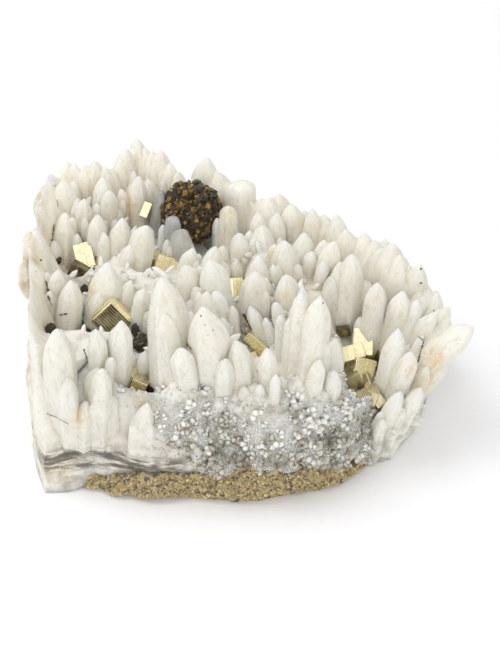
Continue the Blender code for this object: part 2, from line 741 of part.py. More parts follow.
def seen_stems(surface):
    """Crystals of the three lists, each from its foot on the crust to its tip."""
    rng = random.Random(SEED + 5)
    rows = [(row, BACK_LEAN, BACK_BREADTH, False) for row in BACK_CRYSTALS]
    rows += [(row, MIDDLE_LEAN, 1.0, False) for row in MIDDLE_CRYSTALS]
    rows += [(row, FRONT_LEAN, 1.0, True) for row in FRONT_CRYSTALS]
    stems = []
    for row, lean, breadth, full in rows:
        direction = sight_direction(row.foot)
        foot = surface.ray_cast(VIEWPOINT, direction)[0] if full else None
        if foot is None:
            foot = foot_on_crust(surface, place_at_height(row.foot, FOOT_LEVEL))
        tip = place_at_depth(row.tip, foot.y + (row.back + rng.uniform(*lean)) * MM)
        scale = picture_place((foot + tip) / 2)[2]
        radius = row.width / scale / SEEN_WIDTH * breadth
        if full:
            foot += direction * WALL_SINK * radius
        stems.append(Stem(foot, tip, radius, row.blunt, full))
    return stems


def inside_plan(point, margin):
    """Whether a place lies inside the plan by at least a margin."""
    near = 30.0 * MM
    return all((point - edge).dot(outward) < -margin or (point - edge).length > near
               for edge, outward in outline_ring())


def skyline(across):
    """How high in the picture the back row reaches at a place across it."""
    return along([row.tip for row in BACK_CRYSTALS], across)


def hides(stem, spot, reach):
    """Whether a crystal stands before a point of the frame, as seen in the picture."""
    across, down, scale = picture_place(spot)
    low = Vector(picture_place(stem.foot)[:2])
    high = Vector(picture_place(stem.tip)[:2])
    seen = Vector((across, down))
    share = min(1.0, max(0.0, (seen - low).dot(high - low) / (high - low).length_squared))
    on_axis = stem.foot.lerp(stem.tip, share)
    if (on_axis - spot).dot(TOWARDS_VIEWER) < -0.5 * stem.radius:
        return False
    half_width = stem.radius * (1.0 - 0.6 * share)
    return (seen - low.lerp(high, share)).length < (half_width + reach) * scale


def stands_free(stem, stems, spots):
    """Whether a crystal keeps clear of others, of the skyline and of what must show."""
    middle = (stem.foot + stem.tip) / 2
    for other in stems:
        heights = [other.foot.lerp(other.tip, share) for share in (0.3, 0.5, 0.7)]
        nearest = min((height - middle).length for height in heights)
        if nearest < CLOSEST * (stem.radius + other.radius):
            return False
        if hides(stem, other.tip, 0.2 * other.radius):
            return False
    across, down, _ = picture_place(stem.tip)
    if down < skyline(across) + SKYLINE_MARGIN:
        return False
    return not any(hides(stem, spot, reach) for spot, reach in spots)


def filling_stems(surface, stems, spots):
    """Crystals between those that can be told apart, on a loose grid."""
    rng = random.Random(SEED + 3)
    stems = list(stems)
    added = []
    width, depth = FIELD_SIZE
    columns = int(width / FILL_SPACING)
    rows = int(depth / FILL_SPACING)
    for row in range(rows):
        for column in range(columns):
            across = column + 0.5 * (row % 2) + rng.uniform(-FILL_WANDER, FILL_WANDER)
            back = row + rng.uniform(-FILL_WANDER, FILL_WANDER)
            x = across * FILL_SPACING - width / 2
            y = back * FILL_SPACING - depth / 2
            radius = rng.uniform(*FILL_RADIUS)
            height = rng.uniform(*FILL_HEIGHT)
            sway_x = rng.uniform(-FILL_SWAY, FILL_SWAY)
            sway_y = rng.uniform(-FILL_SWAY, FILL_SWAY)
            place = Vector((x, y))
            if not inside_plan(place, FILL_MARGIN):
                continue
            foot = foot_on_crust(surface, place)
            lean_x = max(0.0, x) / (width / 2) * FILL_LEAN[0]
            lean_y = max(0.0, y) / (depth / 2) * FILL_LEAN[1]
            lean = Vector((lean_x + sway_x, lean_y + sway_y, 1.0))
            for shrink in FILL_SHRINKS:
                tip = foot + lean.normalized() * height * shrink
                stem = Stem(foot, tip, radius)
                if stands_free(stem, stems, spots):
                    stems.append(stem)
                    added.append(stem)
                    break
    return added


def wall_stems(surface, spots):
    """Short crystals that stick out of the crust's walls."""
    rng = random.Random(SEED + 4)
    stems = []
    ring = outline_ring()
    turn = 0
    while len(stems) < WALL_CRYSTAL_COUNT:
        point, outward = ring[turn * WALL_STRIDE % OUTLINE_COUNT]
        turn += 1
        height = crust_height(point)
        hidden = 1.0 if outward.y > 0.0 else 0.0
        level = rng.uniform(*WALL_LEVELS) * height
        lean = Vector((rng.uniform(-0.4, 0.4), rng.uniform(-0.3, 0.3), rng.uniform(0.8, 1.8)))
        radius = rng.uniform(*WALL_RADIUS) + HIDDEN_RADIUS_MORE * hidden
        length = rng.uniform(*WALL_LENGTH) + HIDDEN_LENGTH_MORE * hidden
        if left_share(outward) > 0.0 or (outward.y < -0.5 and point.x < SMOOTH_WALL_END):
            continue
        start = Vector((*(point + outward * BESIDE_ALL), level))
        foot = surface.ray_cast(start, Vector((-outward.x, -outward.y, 0)))[0]
        if foot is None or foot.z < matrix_height(point, outward) + WALL_CLEARANCE:
            continue
        axis = (Vector((outward.x, outward.y, 0)) + lean).normalized()
        stem = Stem(foot, foot + axis * length, radius)
        if not any(hides(stem, spot, reach) for spot, reach in spots):
            stems.append(stem)
    return stems


def inclusion_places(crust, quartz):
    """(name, part, middle) of each block and lump, on the quartz behind its pixel."""
    places = []
    for name, parts in INCLUSIONS.items():
        for part in parts:
            direction = sight_direction(part.at)
            behind = crust.ray_cast(VIEWPOINT, direction)[0]
            if behind is None:
                behind = quartz.ray_cast(VIEWPOINT, direction)[0]
            places.append((name, part, behind - direction * part.proud * MM))
    return places


def spot_to_show(part, middle):
    """Place and radius of a block or lump that no filling crystal may hide."""
    breadth = max(part.size[:2]) if isinstance(part, Block) else 2 * part.radii[0]
    return middle, 0.42 * breadth * MM


def main():
    for thing in list(bpy.data.objects):
        bpy.data.objects.remove(thing)
    rng = random.Random(SEED + 2)
    quartz = material("milky quartz", (0.86, 0.84, 0.79), 0.3)
    brass = material("pyrite", (0.62, 0.50, 0.22), 0.3, 1.0)
    grains = material("granular pyrite", (0.34, 0.27, 0.15), 0.6, 0.4)
    brown = material("brown mineral", (0.13, 0.07, 0.03), 0.4)

    slab = matrix_solid("pyrite_matrix")
    slab.data.materials.append(grains)

    cluster = crust_solid("quartz_cluster")
    crust = surface_of([cluster])
    crystals = working_collection("crystals")
    seen = seen_stems(crust)
    for stem in seen:
        quartz_crystal(stem, rng, crystals)
    places = inclusion_places(crust, surface_of([cluster, *crystals.objects]))
    spots = [spot_to_show(part, middle) for _, part, middle in places]
    for stem in filling_stems(crust, seen, spots) + wall_stems(crust, spots):
        quartz_crystal(stem, rng, crystals)
    combine(cluster, "UNION", crystals)

    cutters = working_collection("cutters")
    ground_solid(cutters)
    matrix_solid("slab_seat", SEATING_GAP, cutters)
    for name in INCLUSIONS:
        own = working_collection(name)
        pieces = []
        for owner, part, middle in places:
            if owner == name:
                make = block_solid if isinstance(part, Block) else lump_solid
                make(part, middle, SEATING_GAP, cutters)
                pieces.append(make(part, middle, 0.0, own))
        piece = pieces[0]
        own.objects.unlink(piece)
        bpy.context.scene.collection.objects.link(piece)
        piece.name = name
        if len(pieces) > 1:
            combine(piece, "UNION", own)
        else:
            bpy.data.collections.remove(own)
        piece.data.name = name
        piece.data.materials.clear()
        piece.data.materials.append(brown if name.startswith("brown") else brass)
    combine(cluster, "DIFFERENCE", cutters)
    keep_main_body(cluster)
    cluster.data.materials.clear()
    cluster.data.materials.append(quartz)


main()
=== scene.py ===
"""Looks of the pyrite with quartz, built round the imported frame.

The specimen is a hand-sized slab of granular pyrite, crusted with milky quartz, from
which quartz points grow close together.  Pyrite crystals, a round brown nodule and
brown lumps stand between them.  Everything is in metres, in the frame's own place:
+Z is up, +X is right and +Y is back.  Crystals that can be told apart are placed by
where their tip and foot stand in a picture of 500 x 646 pixels.
"""

import json
import math
import random
from typing import NamedTuple

import bmesh
import bpy
from mathutils import Matrix, Vector, noise
from mathutils.bvhtree import BVHTree

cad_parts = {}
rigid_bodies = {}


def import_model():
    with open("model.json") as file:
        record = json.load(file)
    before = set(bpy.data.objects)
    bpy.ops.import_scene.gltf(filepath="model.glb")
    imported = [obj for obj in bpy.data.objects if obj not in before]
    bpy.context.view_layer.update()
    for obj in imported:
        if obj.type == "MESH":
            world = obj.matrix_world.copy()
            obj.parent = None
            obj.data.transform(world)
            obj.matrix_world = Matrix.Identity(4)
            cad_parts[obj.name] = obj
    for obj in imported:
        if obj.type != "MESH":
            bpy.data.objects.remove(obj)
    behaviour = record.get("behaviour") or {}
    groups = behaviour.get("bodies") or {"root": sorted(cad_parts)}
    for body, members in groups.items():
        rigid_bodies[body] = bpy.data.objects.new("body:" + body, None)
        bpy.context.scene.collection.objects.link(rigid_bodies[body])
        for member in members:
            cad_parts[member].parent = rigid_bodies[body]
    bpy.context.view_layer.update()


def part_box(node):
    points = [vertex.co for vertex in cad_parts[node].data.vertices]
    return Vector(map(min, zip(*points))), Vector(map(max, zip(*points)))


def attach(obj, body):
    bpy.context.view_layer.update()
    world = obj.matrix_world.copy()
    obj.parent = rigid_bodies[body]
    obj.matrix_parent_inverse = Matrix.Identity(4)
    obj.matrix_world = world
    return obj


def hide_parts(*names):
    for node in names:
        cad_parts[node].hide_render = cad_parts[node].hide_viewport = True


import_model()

bl_info = {
    "name": "Pyrite with quartz",
    "version": (1, 0, 0),
    "blender": (4, 5, 0),
    "location": "View3D > Sidebar > Specimen",
    "description": "Builds a hand specimen of milky quartz points with pyrite",
    "category": "Add Mesh",
}

BODY = "root"
MM = 0.001

# Driving sizes
OUTLINE_COUNT = 48
MATRIX_MIDDLE_HEIGHT = 14.0 * MM
UNDERCUT = 2.5 * MM
CRUST_MIDDLE_HEIGHT = 38.0 * MM
CRUST_UNDERSIDE = 6.0 * MM
CRUST_SIDE_FOOT = 3.0 * MM
FRONT_SLOPE_BACK = 13.0 * MM
SIDE_SLOPE_BACK = 4.0 * MM
LEFT_WALL_RISE = 14.0 * MM
SHOULDER_RISE = 2.0 * MM
SHOULDER_SHARE = 0.87
INNER_RING_SHARE = 0.5
UNDERSIDE_SHARE = 0.55
MATRIX_ROUGHNESS = 0.8 * MM
CRUST_ROUGHNESS = 1.0 * MM
SEED = 7

# The quartz that hangs down over the slab at the sides and back
SKIRT_THICKNESS = 3.2 * MM
SKIRT_FOOT = 0.2 * MM

# Middle rings of the two walls: (share of the wall's slope, share of its height)
MATRIX_RINGS = ((0.0, 0.32), (0.5, 0.7))
CRUST_RINGS = ((0.25, 0.3), (0.55, 0.65))

# The slab's slope as a share of the crust's, and how the crust's foot sits on the slab:
# its depth in the wall, that depth's share of the slope, its drop, and its depth where
# the quartz hangs down, in mm
MATRIX_SLOPE_SHARE = 0.18
LIP_DEPTH = 1.5 * MM
LIP_SLOPE_SHARE = 0.2
LIP_DROP = 2.0 * MM
SKIRT_INSET = 1.2

# Shares of the edge's height and of the middle's height in the crust's inner ring
INNER_RING_MIX = (0.3, 0.7)

# Shape of a quartz crystal: shares of its radius, of its length or of its point
CRYSTAL_ROOT = 7.0 * MM
ROOT_SHOULDER = 3.0 * MM
ROOT_SHARE = 0.4
TAPER = (0.06, 0.16)
POINT_LENGTH = (1.25, 1.75)
FULL_POINT_LENGTH = (1.7, 2.1)
APEX_WANDER = 0.16
CORNER_TURN = 0.09
CORNER_REACH = (0.9, 1.1)
FACE_ALTERNATION = 0.24

# Crystals grown by rule between the ones that can be told apart
FILL_SPACING = 11.2 * MM
FILL_WANDER = 0.25
FILL_MARGIN = 5.0 * MM
FILL_RADIUS = (3.5 * MM, 5.2 * MM)
FILL_HEIGHT = (17.0 * MM, 28.0 * MM)
FILL_SWAY = 0.08
FILL_LEAN = (0.3, 0.2)
FILL_SHRINKS = (1.0, 0.85, 0.7, 0.55)
FIELD_SIZE = (150.0 * MM, 120.0 * MM)
CLOSEST = 0.62
SKYLINE_MARGIN = 7.0

# Short crystals on the walls, a little larger where the picture does not reach
WALL_CRYSTAL_COUNT = 26
WALL_STRIDE = 7
WALL_RADIUS = (1.5 * MM, 2.9 * MM)
WALL_LENGTH = (4.0 * MM, 9.0 * MM)
HIDDEN_RADIUS_MORE = 1.2 * MM
HIDDEN_LENGTH_MORE = 5.0 * MM
WALL_LEVELS = (0.35, 0.98)
WALL_CLEARANCE = 3.0 * MM

# The view in which the pixels below were read
PICTURE_SIZE = (500, 646)
PICTURE_CENTRE = (250.0, 323.0)
PIXELS_PER_MM = 3.0
VIEW_DISTANCE = 620.0 * MM
VIEW_ELEVATION = math.radians(40.0)
VIEW_AIM = Vector((0.0, 0.0, 22.0 * MM))
FOCAL_PIXELS = PIXELS_PER_MM * VIEW_DISTANCE / MM
FOOT_LEVEL = 28.0 * MM

VIEW_RIGHT = Vector((1.0, 0.0, 0.0))
VIEW_UP = Vector((0.0, math.sin(VIEW_ELEVATION), math.cos(VIEW_ELEVATION)))
TOWARDS_VIEWER = Vector((0.0, -math.cos(VIEW_ELEVATION), math.sin(VIEW_ELEVATION)))
VIEWPOINT = VIEW_AIM + TOWARDS_VIEWER * VIEW_DISTANCE
VIEW_BASIS = Matrix((VIEW_RIGHT, VIEW_UP, TOWARDS_VIEWER)).transposed()

# A six-sided crystal is seen between 1.73 and 2 corner radii wide
SEEN_WIDTH = 1.9

# Bodies of the back row are broader than the points that show of them
BACK_BREADTH = 1.6

# How far tips are set back from their feet along the line of sight, in mm, by row
BACK_LEAN = (2.0, 9.0)
MIDDLE_LEAN = (-3.0, 4.0)
FRONT_LEAN = (-2.5, 1.0)

# How deep the axis of a front crystal stands in the wall, in radii
WALL_SINK = 0.9

# Plan of the specimen, in mm, from the front left corner round by the right
OUTLINE = (
    (-66, -59), (-48, -58), (-31, -62), (-15, -62), (2, -64), (16, -60), (26, -57),
    (35, -51), (44, -44), (50, -38), (56, -27), (60, -15), (61, -3), (56, 7),
    (44, 15), (30, 23), (12, 32), (-6, 41), (-22, 48), (-38, 54), (-52, 55),
    (-64, 52), (-71, 42), (-74, 25), (-74, 2), (-73, -24), (-71, -44),
)

# Middle of the plan, under which the slab's flat underside is centred
PLAN_MIDDLE = Vector((-14.0 * MM, -6.0 * MM, 0.0))

# Height of the granular pyrite along the front wall: (x, height) in mm
MATRIX_FRONT_HEIGHTS = (
    (-70, 4), (-48, 6), (-34, 9), (-15, 10.5), (-4, 13), (4, 19), (14, 13), (24, 9),
    (34, 5), (60, 5),
)

# Height of the slab at the sides and back in mm, how far it swings up and down, and
# the swing's radians in a millimetre along X and along Y
MATRIX_SIDE_HEIGHT = 9.0
MATRIX_SIDE_SWING = 2.5
MATRIX_SWING_PACE = (0.11, 0.17)

# Height of the crust's upper edge in mm, over the crust's width: (x, height)
CRUST_EDGE_HEIGHTS = ((-80, 32.4), (-30, 28.0), (20, 28.0), (70, 15.5))

# Stretch of the front wall, in mm, where the granular pyrite shows below the quartz,
# and the length over which the quartz closes over it at either end
BARE_STRETCH = (-55.0, 40.0)
BARE_FADE = 8.0

# Left of this place the front wall is smooth broken quartz, with no crystals on it
SMOOTH_WALL_END = -18.0 * MM

# Outward directions of the front wall have a Y below this, and those of the broken
# left face an X below minus this, reached over a fade
FRONT_FACING = -0.5
LEFT_FACING = 0.75
LEFT_FADE = 0.2


class Crystal(NamedTuple):
    """One quartz crystal that can be seen: pixels, and the tip's set-back in mm."""
    tip: tuple
    foot: tuple
    width: float
    back: float = 0.0
    blunt: bool = False


# Crystals whose tips stand out at the back, from the left to the right
BACK_CRYSTALS = tuple(Crystal(*row) for row in (
    ((55, 178), (56, 240), 14), ((67, 161), (68, 232), 12), ((75, 163), (76, 236), 10),
    ((86, 165), (86, 238), 12), ((95, 161), (96, 236), 12), ((106, 166), (106, 240), 14),
    ((125, 148), (124, 226), 16), ((139, 138), (140, 222), 17), ((160, 150), (158, 230), 15),
    ((171, 163), (170, 236), 11), ((178, 171), (178, 240), 11), ((192, 177), (191, 244), 13),
    ((207, 156), (206, 236), 18), ((241, 180), (240, 252), 21, 0, True), ((268, 196), (267, 262), 22),
    ((280, 193), (280, 264), 18), ((292, 204), (292, 268), 13), ((306, 210), (306, 272), 13),
    ((313, 208), (314, 274), 13), ((325, 214), (325, 280), 15), ((336, 214), (336, 282), 14),
    ((348, 230), (346, 290), 14), ((366, 232), (363, 296), 20), ((391, 243), (386, 318), 20),
    ((421, 264), (402, 332), 15), ((437, 291), (418, 350), 13), ((450, 307), (424, 364), 14),
    ((473, 325), (426, 386), 18),
))

# Crystals that stand between the back row and the front row
MIDDLE_CRYSTALS = tuple(Crystal(*row) for row in (
    ((66, 213), (66, 275), 25), ((97, 214), (97, 278), 22), ((84, 199), (84, 262), 18),
    ((121, 218), (120, 284), 21), ((110, 190), (110, 256), 18), ((149, 225), (135, 296), 27),
    ((138, 176), (138, 250), 20), ((163, 190), (155, 252), 12), ((173, 217), (172, 280), 17, 0, True),
    ((181, 228), (183, 288), 20), ((192, 248), (182, 316), 18), ((214, 246), (205, 324), 24),
    ((228, 206), (228, 270), 20), ((240, 232), (238, 296), 21), ((258, 212), (258, 280), 18),
    ((261, 256), (255, 326), 25), ((273, 265), (276, 326), 11), ((283, 241), (285, 312), 25),
    ((303, 232), (303, 298), 20), ((324, 240), (323, 304), 22), ((340, 262), (334, 326), 18),
    ((354, 254), (345, 328), 24), ((378, 282), (370, 344), 22), ((403, 292), (388, 350), 22),
    ((418, 300), (396, 356), 17), ((108, 264), (108, 330), 35), ((58, 271), (56, 332), 18),
    ((73, 281), (68, 344), 25), ((143, 290), (141, 346), 17), ((276, 302), (282, 356), 13),
    ((250, 306), (262, 358), 17), ((232, 305), (234, 358), 14), ((361, 317), (359, 344), 16, 5),
))

# Crystals along the front edge and down the front wall
FRONT_CRYSTALS = tuple(Crystal(*row) for row in (
    ((58, 329), (64, 425), 33), ((97, 328), (99, 396), 22), ((121, 321), (119, 392), 22),
    ((103, 368), (99, 446), 21), ((130, 350), (129, 376), 15), ((144, 352), (143, 378), 17),
    ((163, 275), (172, 404), 42, 11), ((206, 307), (215, 406), 39, 2), ((302, 292), (293, 400), 22, 4),
    ((319, 296), (303, 404), 30, 4), ((238, 340), (243, 410), 24), ((268, 348), (268, 412), 20),
    ((334, 370), (330, 418), 17), ((398, 330), (384, 400), 26), ((435, 311), (392, 376), 22),
    ((412, 352), (386, 418), 22), ((428, 366), (402, 420), 16), ((420, 388), (386, 448), 19),
    ((400, 392), (376, 446), 19), ((86, 402), (82, 446), 22), ((146, 404), (142, 450), 20),
))


class Block(NamedTuple):
    """One pyrite crystal, a block: pixel, how far its middle stands off the crust
    and its sides in mm, its turns in degrees, how dark its front face is painted, as
    tarnish and as painted dark reflection, and how tarnished all of it is."""
    at: tuple
    proud: float
    size: tuple
    turns: tuple
    # Front face painted dark: tarnish and painted dark reflection
    tarnish_and_dark_reflection: float = 0.0
    worn: float = 0.0


class Lump(NamedTuple):
    """One rough lump: pixel, how far its middle stands off the crust and radii in mm."""
    at: tuple
    proud: float
    radii: tuple


# Crystals and lumps between the quartz, each set on the crust behind its pixel
INCLUSIONS = {
    # The cube's front face is painted dark: tarnish and painted dark reflection
    "pyrite_cube_striated": (Block((112, 317), 5.4, (10.0, 10.0, 9.0), (("X", 14), ("Z", 43)), tarnish_and_dark_reflection=1.0),),
    "pyrite_crystal_upper_left": (
        Block((86, 258), 5.6, (6.2, 9.0, 7.0), (("X", -12), ("Y", -6), ("Z", 14))),
        Block((79, 271), 5.2, (6.0, 4.6, 5.0), (("Z", -26), ("X", 24)), worn=1.0),
    ),
    "pyrite_block_middle": (
        Block((166, 266), 4.4, (9.2, 7.2, 8.0), (("X", 12), ("Y", 12), ("Z", -18))),
        Block((153, 268), 4.6, (3.4, 4.8, 5.0), (("Z", 24), ("Y", 20)), worn=1.0),
    ),
    "pyrite_crystal_small": (Block((234, 288), 2.2, (5.0, 6.5, 5.5), (("Z", 4), ("Y", 12))),),
    "pyrite_crystal_back": (Block((146, 210), 2.2, (3.0, 5.4, 4.4), (("Z", -22),), worn=0.25),),
    "pyrite_crystal_back_low": (Block((138, 223), 9.0, (3.8, 6.0, 5.0), (("Z", -35), ("Y", 20)), worn=0.9),),
    "pyrite_plate_middle": (
        Block((248, 322), 1.8, (2.4, 6.0, 6.0), (("Z", 28), ("Y", 10))),
        Block((257, 341), 1.8, (7.5, 3.2, 6.0), (("Z", -42), ("X", 25))),
    ),
    "pyrite_grains_middle": (
        Block((249, 360), 1.4, (4.2, 4.0, 5.0), (("Z", 20), ("Y", 30))),
        Block((253, 369), 1.2, (2.6, 2.8, 4.0), (("Z", 40),)),
    ),
    "pyrite_cluster_right": (
        Block((364, 344), 6.8, (6.6, 9.0, 7.4), (("X", -14), ("Y", -8), ("Z", -4))),
        Block((353, 354), 6.4, (7.4, 4.8, 6.4), (("X", -13), ("Y", -5), ("Z", 16))),
        Block((378, 355), 4.4, (3.6, 11.0, 6.0), (("Z", 4), ("Y", 35)), worn=0.8),
        Block((360, 369), 4.4, (7.4, 7.4, 6.4), (("Z", -14), ("Y", 25)), worn=0.15),
        Block((353, 379), 3.4, (4.8, 5.2, 5.0), (("Z", 30), ("X", 30)), worn=0.6),
        Block((366, 380), 3.4, (4.6, 4.8, 5.0), (("Z", 20), ("Y", -30)), worn=0.5),
        Block((359, 398), 2.4, (4.8, 4.6, 6.0), (("Z", 24), ("Y", 30)), worn=0.6),
        Block((370, 395), 2.8, (5.2, 5.2, 6.0), (("Z", -18), ("X", 24)), worn=0.3),
        Block((378, 400), 1.4, (3.8, 4.4, 5.0), (("Z", 40),), worn=0.5),
    ),
    "pyrite_grains_left": (
        Block((133, 374), 2.6, (3.8, 4.6, 5.0), (("Z", 16), ("Y", 24)), worn=0.5),
        Block((140, 384), 3.0, (5.0, 4.4, 5.0), (("Z", -24), ("X", 30)), worn=0.25),
        Block((132, 394), 2.4, (3.8, 4.0, 5.0), (("Z", 38),), worn=0.6),
        Block((154, 387), 2.4, (3.0, 5.6, 5.0), (("Z", -8), ("Y", 34)), worn=1.0),
    ),
    "brown_nodule": (Lump((191, 212), 9.0, (9.9, 9.6, 9.8)),),
    "brown_lump_left": (Lump((142, 343), 1.2, (3.0, 3.0, 3.2)),),
    "brown_lump_beside_cube": (Lump((136, 331), 1.0, (1.6, 2.2, 3.2)),),
    "brown_strip_left": (Lump((85, 298), 0.8, (1.8, 2.6, 5.2)),),
    "brown_bit_front_left_upper": (Lump((51, 331), 0.8, (2.2, 2.4, 2.6)),),
    "brown_bit_front_left_lower": (Lump((47, 343), 0.8, (1.7, 2.2, 2.8)),),
    "brown_bit_left": (Lump((76, 326), 0.8, (3.8, 2.6, 1.8)),),
    "brown_bit_left_of_cube": (Lump((86, 336), 0.8, (1.9, 2.2, 3.0)),),
    "brown_bit_upper_left": (Lump((55.5, 260), 0.8, (2.2, 2.2, 1.5)),),
    "pyrite_grains_right": (
        Block((351, 319), 4.2, (2.8, 5.6, 5.0), (("Z", -30),), worn=0.9),
        Block((343, 330), 2.2, (4.2, 3.4, 5.0), (("Z", 12), ("X", 20)), worn=1.0),
    ),
}


def clamped(value):
    """A value kept between 0 and 1."""
    return min(1.0, max(0.0, value))


# Sight lines

def sight_direction(pixel):
    """Direction from the viewpoint through a pixel of the picture."""
    across = (pixel[0] - PICTURE_CENTRE[0]) / FOCAL_PIXELS
    up = (PICTURE_CENTRE[1] - pixel[1]) / FOCAL_PIXELS
    return (VIEW_RIGHT * across + VIEW_UP * up - TOWARDS_VIEWER).normalized()


def place_at_depth(pixel, depth):
    """The place on a pixel's sight line whose Y is depth, in metres."""
    direction = sight_direction(pixel)
    return VIEWPOINT + direction * ((depth - VIEWPOINT.y) / direction.y)


def place_at_height(pixel, height):
    """The place on a pixel's sight line whose Z is height, in metres."""
    direction = sight_direction(pixel)
    return VIEWPOINT + direction * ((height - VIEWPOINT.z) / direction.z)


def picture_place(point):
    """Pixel at which a point of the frame is seen, and the pixels in a metre there."""
    away = point - VIEWPOINT
    distance = -away.dot(TOWARDS_VIEWER)
    scale = FOCAL_PIXELS / distance
    across = PICTURE_CENTRE[0] + away.dot(VIEW_RIGHT) * scale
    down = PICTURE_CENTRE[1] - away.dot(VIEW_UP) * scale
    return across, down, scale


# Plan and heights

def along(pairs, x):
    """Value at x on a line through (x, value) pairs."""
    if x <= pairs[0][0]:
        return pairs[0][1]
    for (x0, v0), (x1, v1) in zip(pairs, pairs[1:]):
        if x <= x1:
            return v0 + (v1 - v0) * (x - x0) / (x1 - x0)
    return pairs[-1][1]


def outline_ring():
    """Evenly spaced (point, outward direction) pairs round the plan, in metres."""
    corners = [Vector(corner) * MM for corner in OUTLINE]
    sides = list(zip(corners, corners[1:] + corners[:1]))
    total = sum((end - start).length for start, end in sides)
    ring = []
    for index in range(OUTLINE_COUNT):
        left = total * index / OUTLINE_COUNT
        for start, end in sides:
            length = (end - start).length
            if left <= length:
                ring.append(start.lerp(end, left / length))
                break
            left -= length
    result = []
    for index, point in enumerate(ring):
        step = ring[(index + 1) % OUTLINE_COUNT] - ring[index - 1]
        result.append((point, Vector((step.y, -step.x)).normalized()))
    return result


def matrix_height(point, outward):
    """Height of the granular pyrite at a place on the plan's edge."""
    front = max(0.0, -outward.y)
    front_height = along(MATRIX_FRONT_HEIGHTS, point.x / MM)
    pace_x, pace_y = MATRIX_SWING_PACE
    swing = MATRIX_SIDE_SWING * math.sin(point.x / MM * pace_x + point.y / MM * pace_y)
    side_height = MATRIX_SIDE_HEIGHT + swing
    return (front * front_height + (1.0 - front) * side_height) * MM


def crust_height(point):
    """Height of the crust's upper edge, lower towards the right end."""
    return along(CRUST_EDGE_HEIGHTS, point.x / MM) * MM


def bare_share(point, outward):
    """1 where the granular pyrite shows at the wall, 0 where quartz covers it."""
    if outward.y > FRONT_FACING:
        return 0.0
    inside = min(point.x / MM - BARE_STRETCH[0], BARE_STRETCH[1] - point.x / MM)
    return clamped(inside / BARE_FADE)


def left_share(outward):
    """1 on the broken left face, 0 elsewhere."""
    return clamped((-outward.x - LEFT_FACING) / LEFT_FADE)


def slope_back(outward):
    """How far the upper edge stands in from the foot of the wall."""
    front = max(0.0, -outward.y)
    return SIDE_SLOPE_BACK + (FRONT_SLOPE_BACK - SIDE_SLOPE_BACK) * front * front


def matrix_rings():
    """Rings of the granular pyrite, from its flat underside up."""
    rng = random.Random(SEED)
    rows = [[] for _ in range(5)]
    for point, outward in outline_ring():
        height = matrix_height(point, outward)
        rough = [rng.uniform(-1.0, 1.0) * MATRIX_ROUGHNESS for _ in range(3)]
        inset = slope_back(outward) * MATRIX_SLOPE_SHARE
        cover = (1.0 - bare_share(point, outward)) * SKIRT_THICKNESS
        levels = [(-UNDERCUT - rough[0] - cover, 0.0)]
        for (slope, level), bump in zip(MATRIX_RINGS, rough[1:]):
            levels.append((-slope * inset + bump - cover, level * height))
        levels.append((-inset - cover, height))
        for row, (offset, z) in zip(rows, levels):
            flat = point + outward * offset
            row.append(Vector((flat.x, flat.y, z)))
        inner = point * UNDERSIDE_SHARE
        middle = MATRIX_MIDDLE_HEIGHT + rng.uniform(-1.0, 1.0) * MATRIX_ROUGHNESS
        rows[-1].append(Vector((inner.x, inner.y, middle)))
    return rows


def crust_rings():
    """Rings of the quartz crust, from under it round its walls to its top."""
    rng = random.Random(SEED + 1)
    rows = [[] for _ in range(7)]
    for point, outward in outline_ring():
        bare = bare_share(point, outward)
        base = bare * matrix_height(point, outward) + (1.0 - bare) * CRUST_SIDE_FOOT
        left = left_share(outward)
        top = crust_height(point)
        rim = top + left * LEFT_WALL_RISE
        inset = slope_back(outward)
        rough = [rng.uniform(-1.0, 1.0) * CRUST_ROUGHNESS for _ in range(5)]
        foot = bare * (base - LIP_DROP) + (1.0 - bare) * SKIRT_FOOT
        lip = LIP_DEPTH + LIP_SLOPE_SHARE * inset
        levels = [(-bare * lip - (1.0 - bare) * SKIRT_INSET * MM, foot)]
        for (slope, level), bump in zip(CRUST_RINGS, rough):
            levels.append((-slope * inset + bump, base + level * (rim - base)))
        levels.append((-inset + rough[2], rim))
        deep = point * UNDERSIDE_SHARE
        rows[0].append(Vector((deep.x, deep.y, CRUST_UNDERSIDE)))
        for row, (offset, z) in zip(rows[1:], levels):
            flat = point + outward * offset
            row.append(Vector((flat.x, flat.y, z)))
        shoulder = flat * SHOULDER_SHARE
        rows[5].append(Vector((shoulder.x, shoulder.y, top + SHOULDER_RISE + rough[3])))
        inner = flat * INNER_RING_SHARE
        middle = INNER_RING_MIX[0] * top + INNER_RING_MIX[1] * CRUST_MIDDLE_HEIGHT
        rows[6].append(Vector((inner.x, inner.y, middle + rough[4])))
    return rows


def stacked_rings(rings, bottom, top):
    """Closed bmesh of rings of equal count, ended by a bottom and a top point."""
    bm = bmesh.new()
    rows = [[bm.verts.new(point) for point in ring] for ring in rings]
    low = bm.verts.new(bottom)
    high = bm.verts.new(top)
    count = len(rings[0])
    for lower, upper in zip(rows, rows[1:]):
        for index in range(count):
            after = (index + 1) % count
            bm.faces.new((lower[index], lower[after], upper[after], upper[index]))
    for index in range(count):
        after = (index + 1) % count
        bm.faces.new((low, rows[0][after], rows[0][index]))
        bm.faces.new((high, rows[-1][index], rows[-1][after]))
    bmesh.ops.recalc_face_normals(bm, faces=bm.faces)
    return bm


def slab_form():
    """The slab's coarse form."""
    low = PLAN_MIDDLE.copy()
    high = PLAN_MIDDLE + Vector((0.0, 0.0, MATRIX_MIDDLE_HEIGHT))
    return stacked_rings(matrix_rings(), low, high)


def crust_form():
    """The crust's coarse form."""
    low = Vector((0.0, 0.0, CRUST_UNDERSIDE))
    high = Vector((0.0, 0.0, CRUST_MIDDLE_HEIGHT))
    return stacked_rings(crust_rings(), low, high)


def surface_of(bm):
    """Search tree of the faces of a bmesh, cut in triangles as the solids are."""
    bmesh.ops.triangulate(bm, faces=bm.faces, quad_method="SHORT_EDGE")
    return BVHTree.FromBMesh(bm)


# Places of the crystals

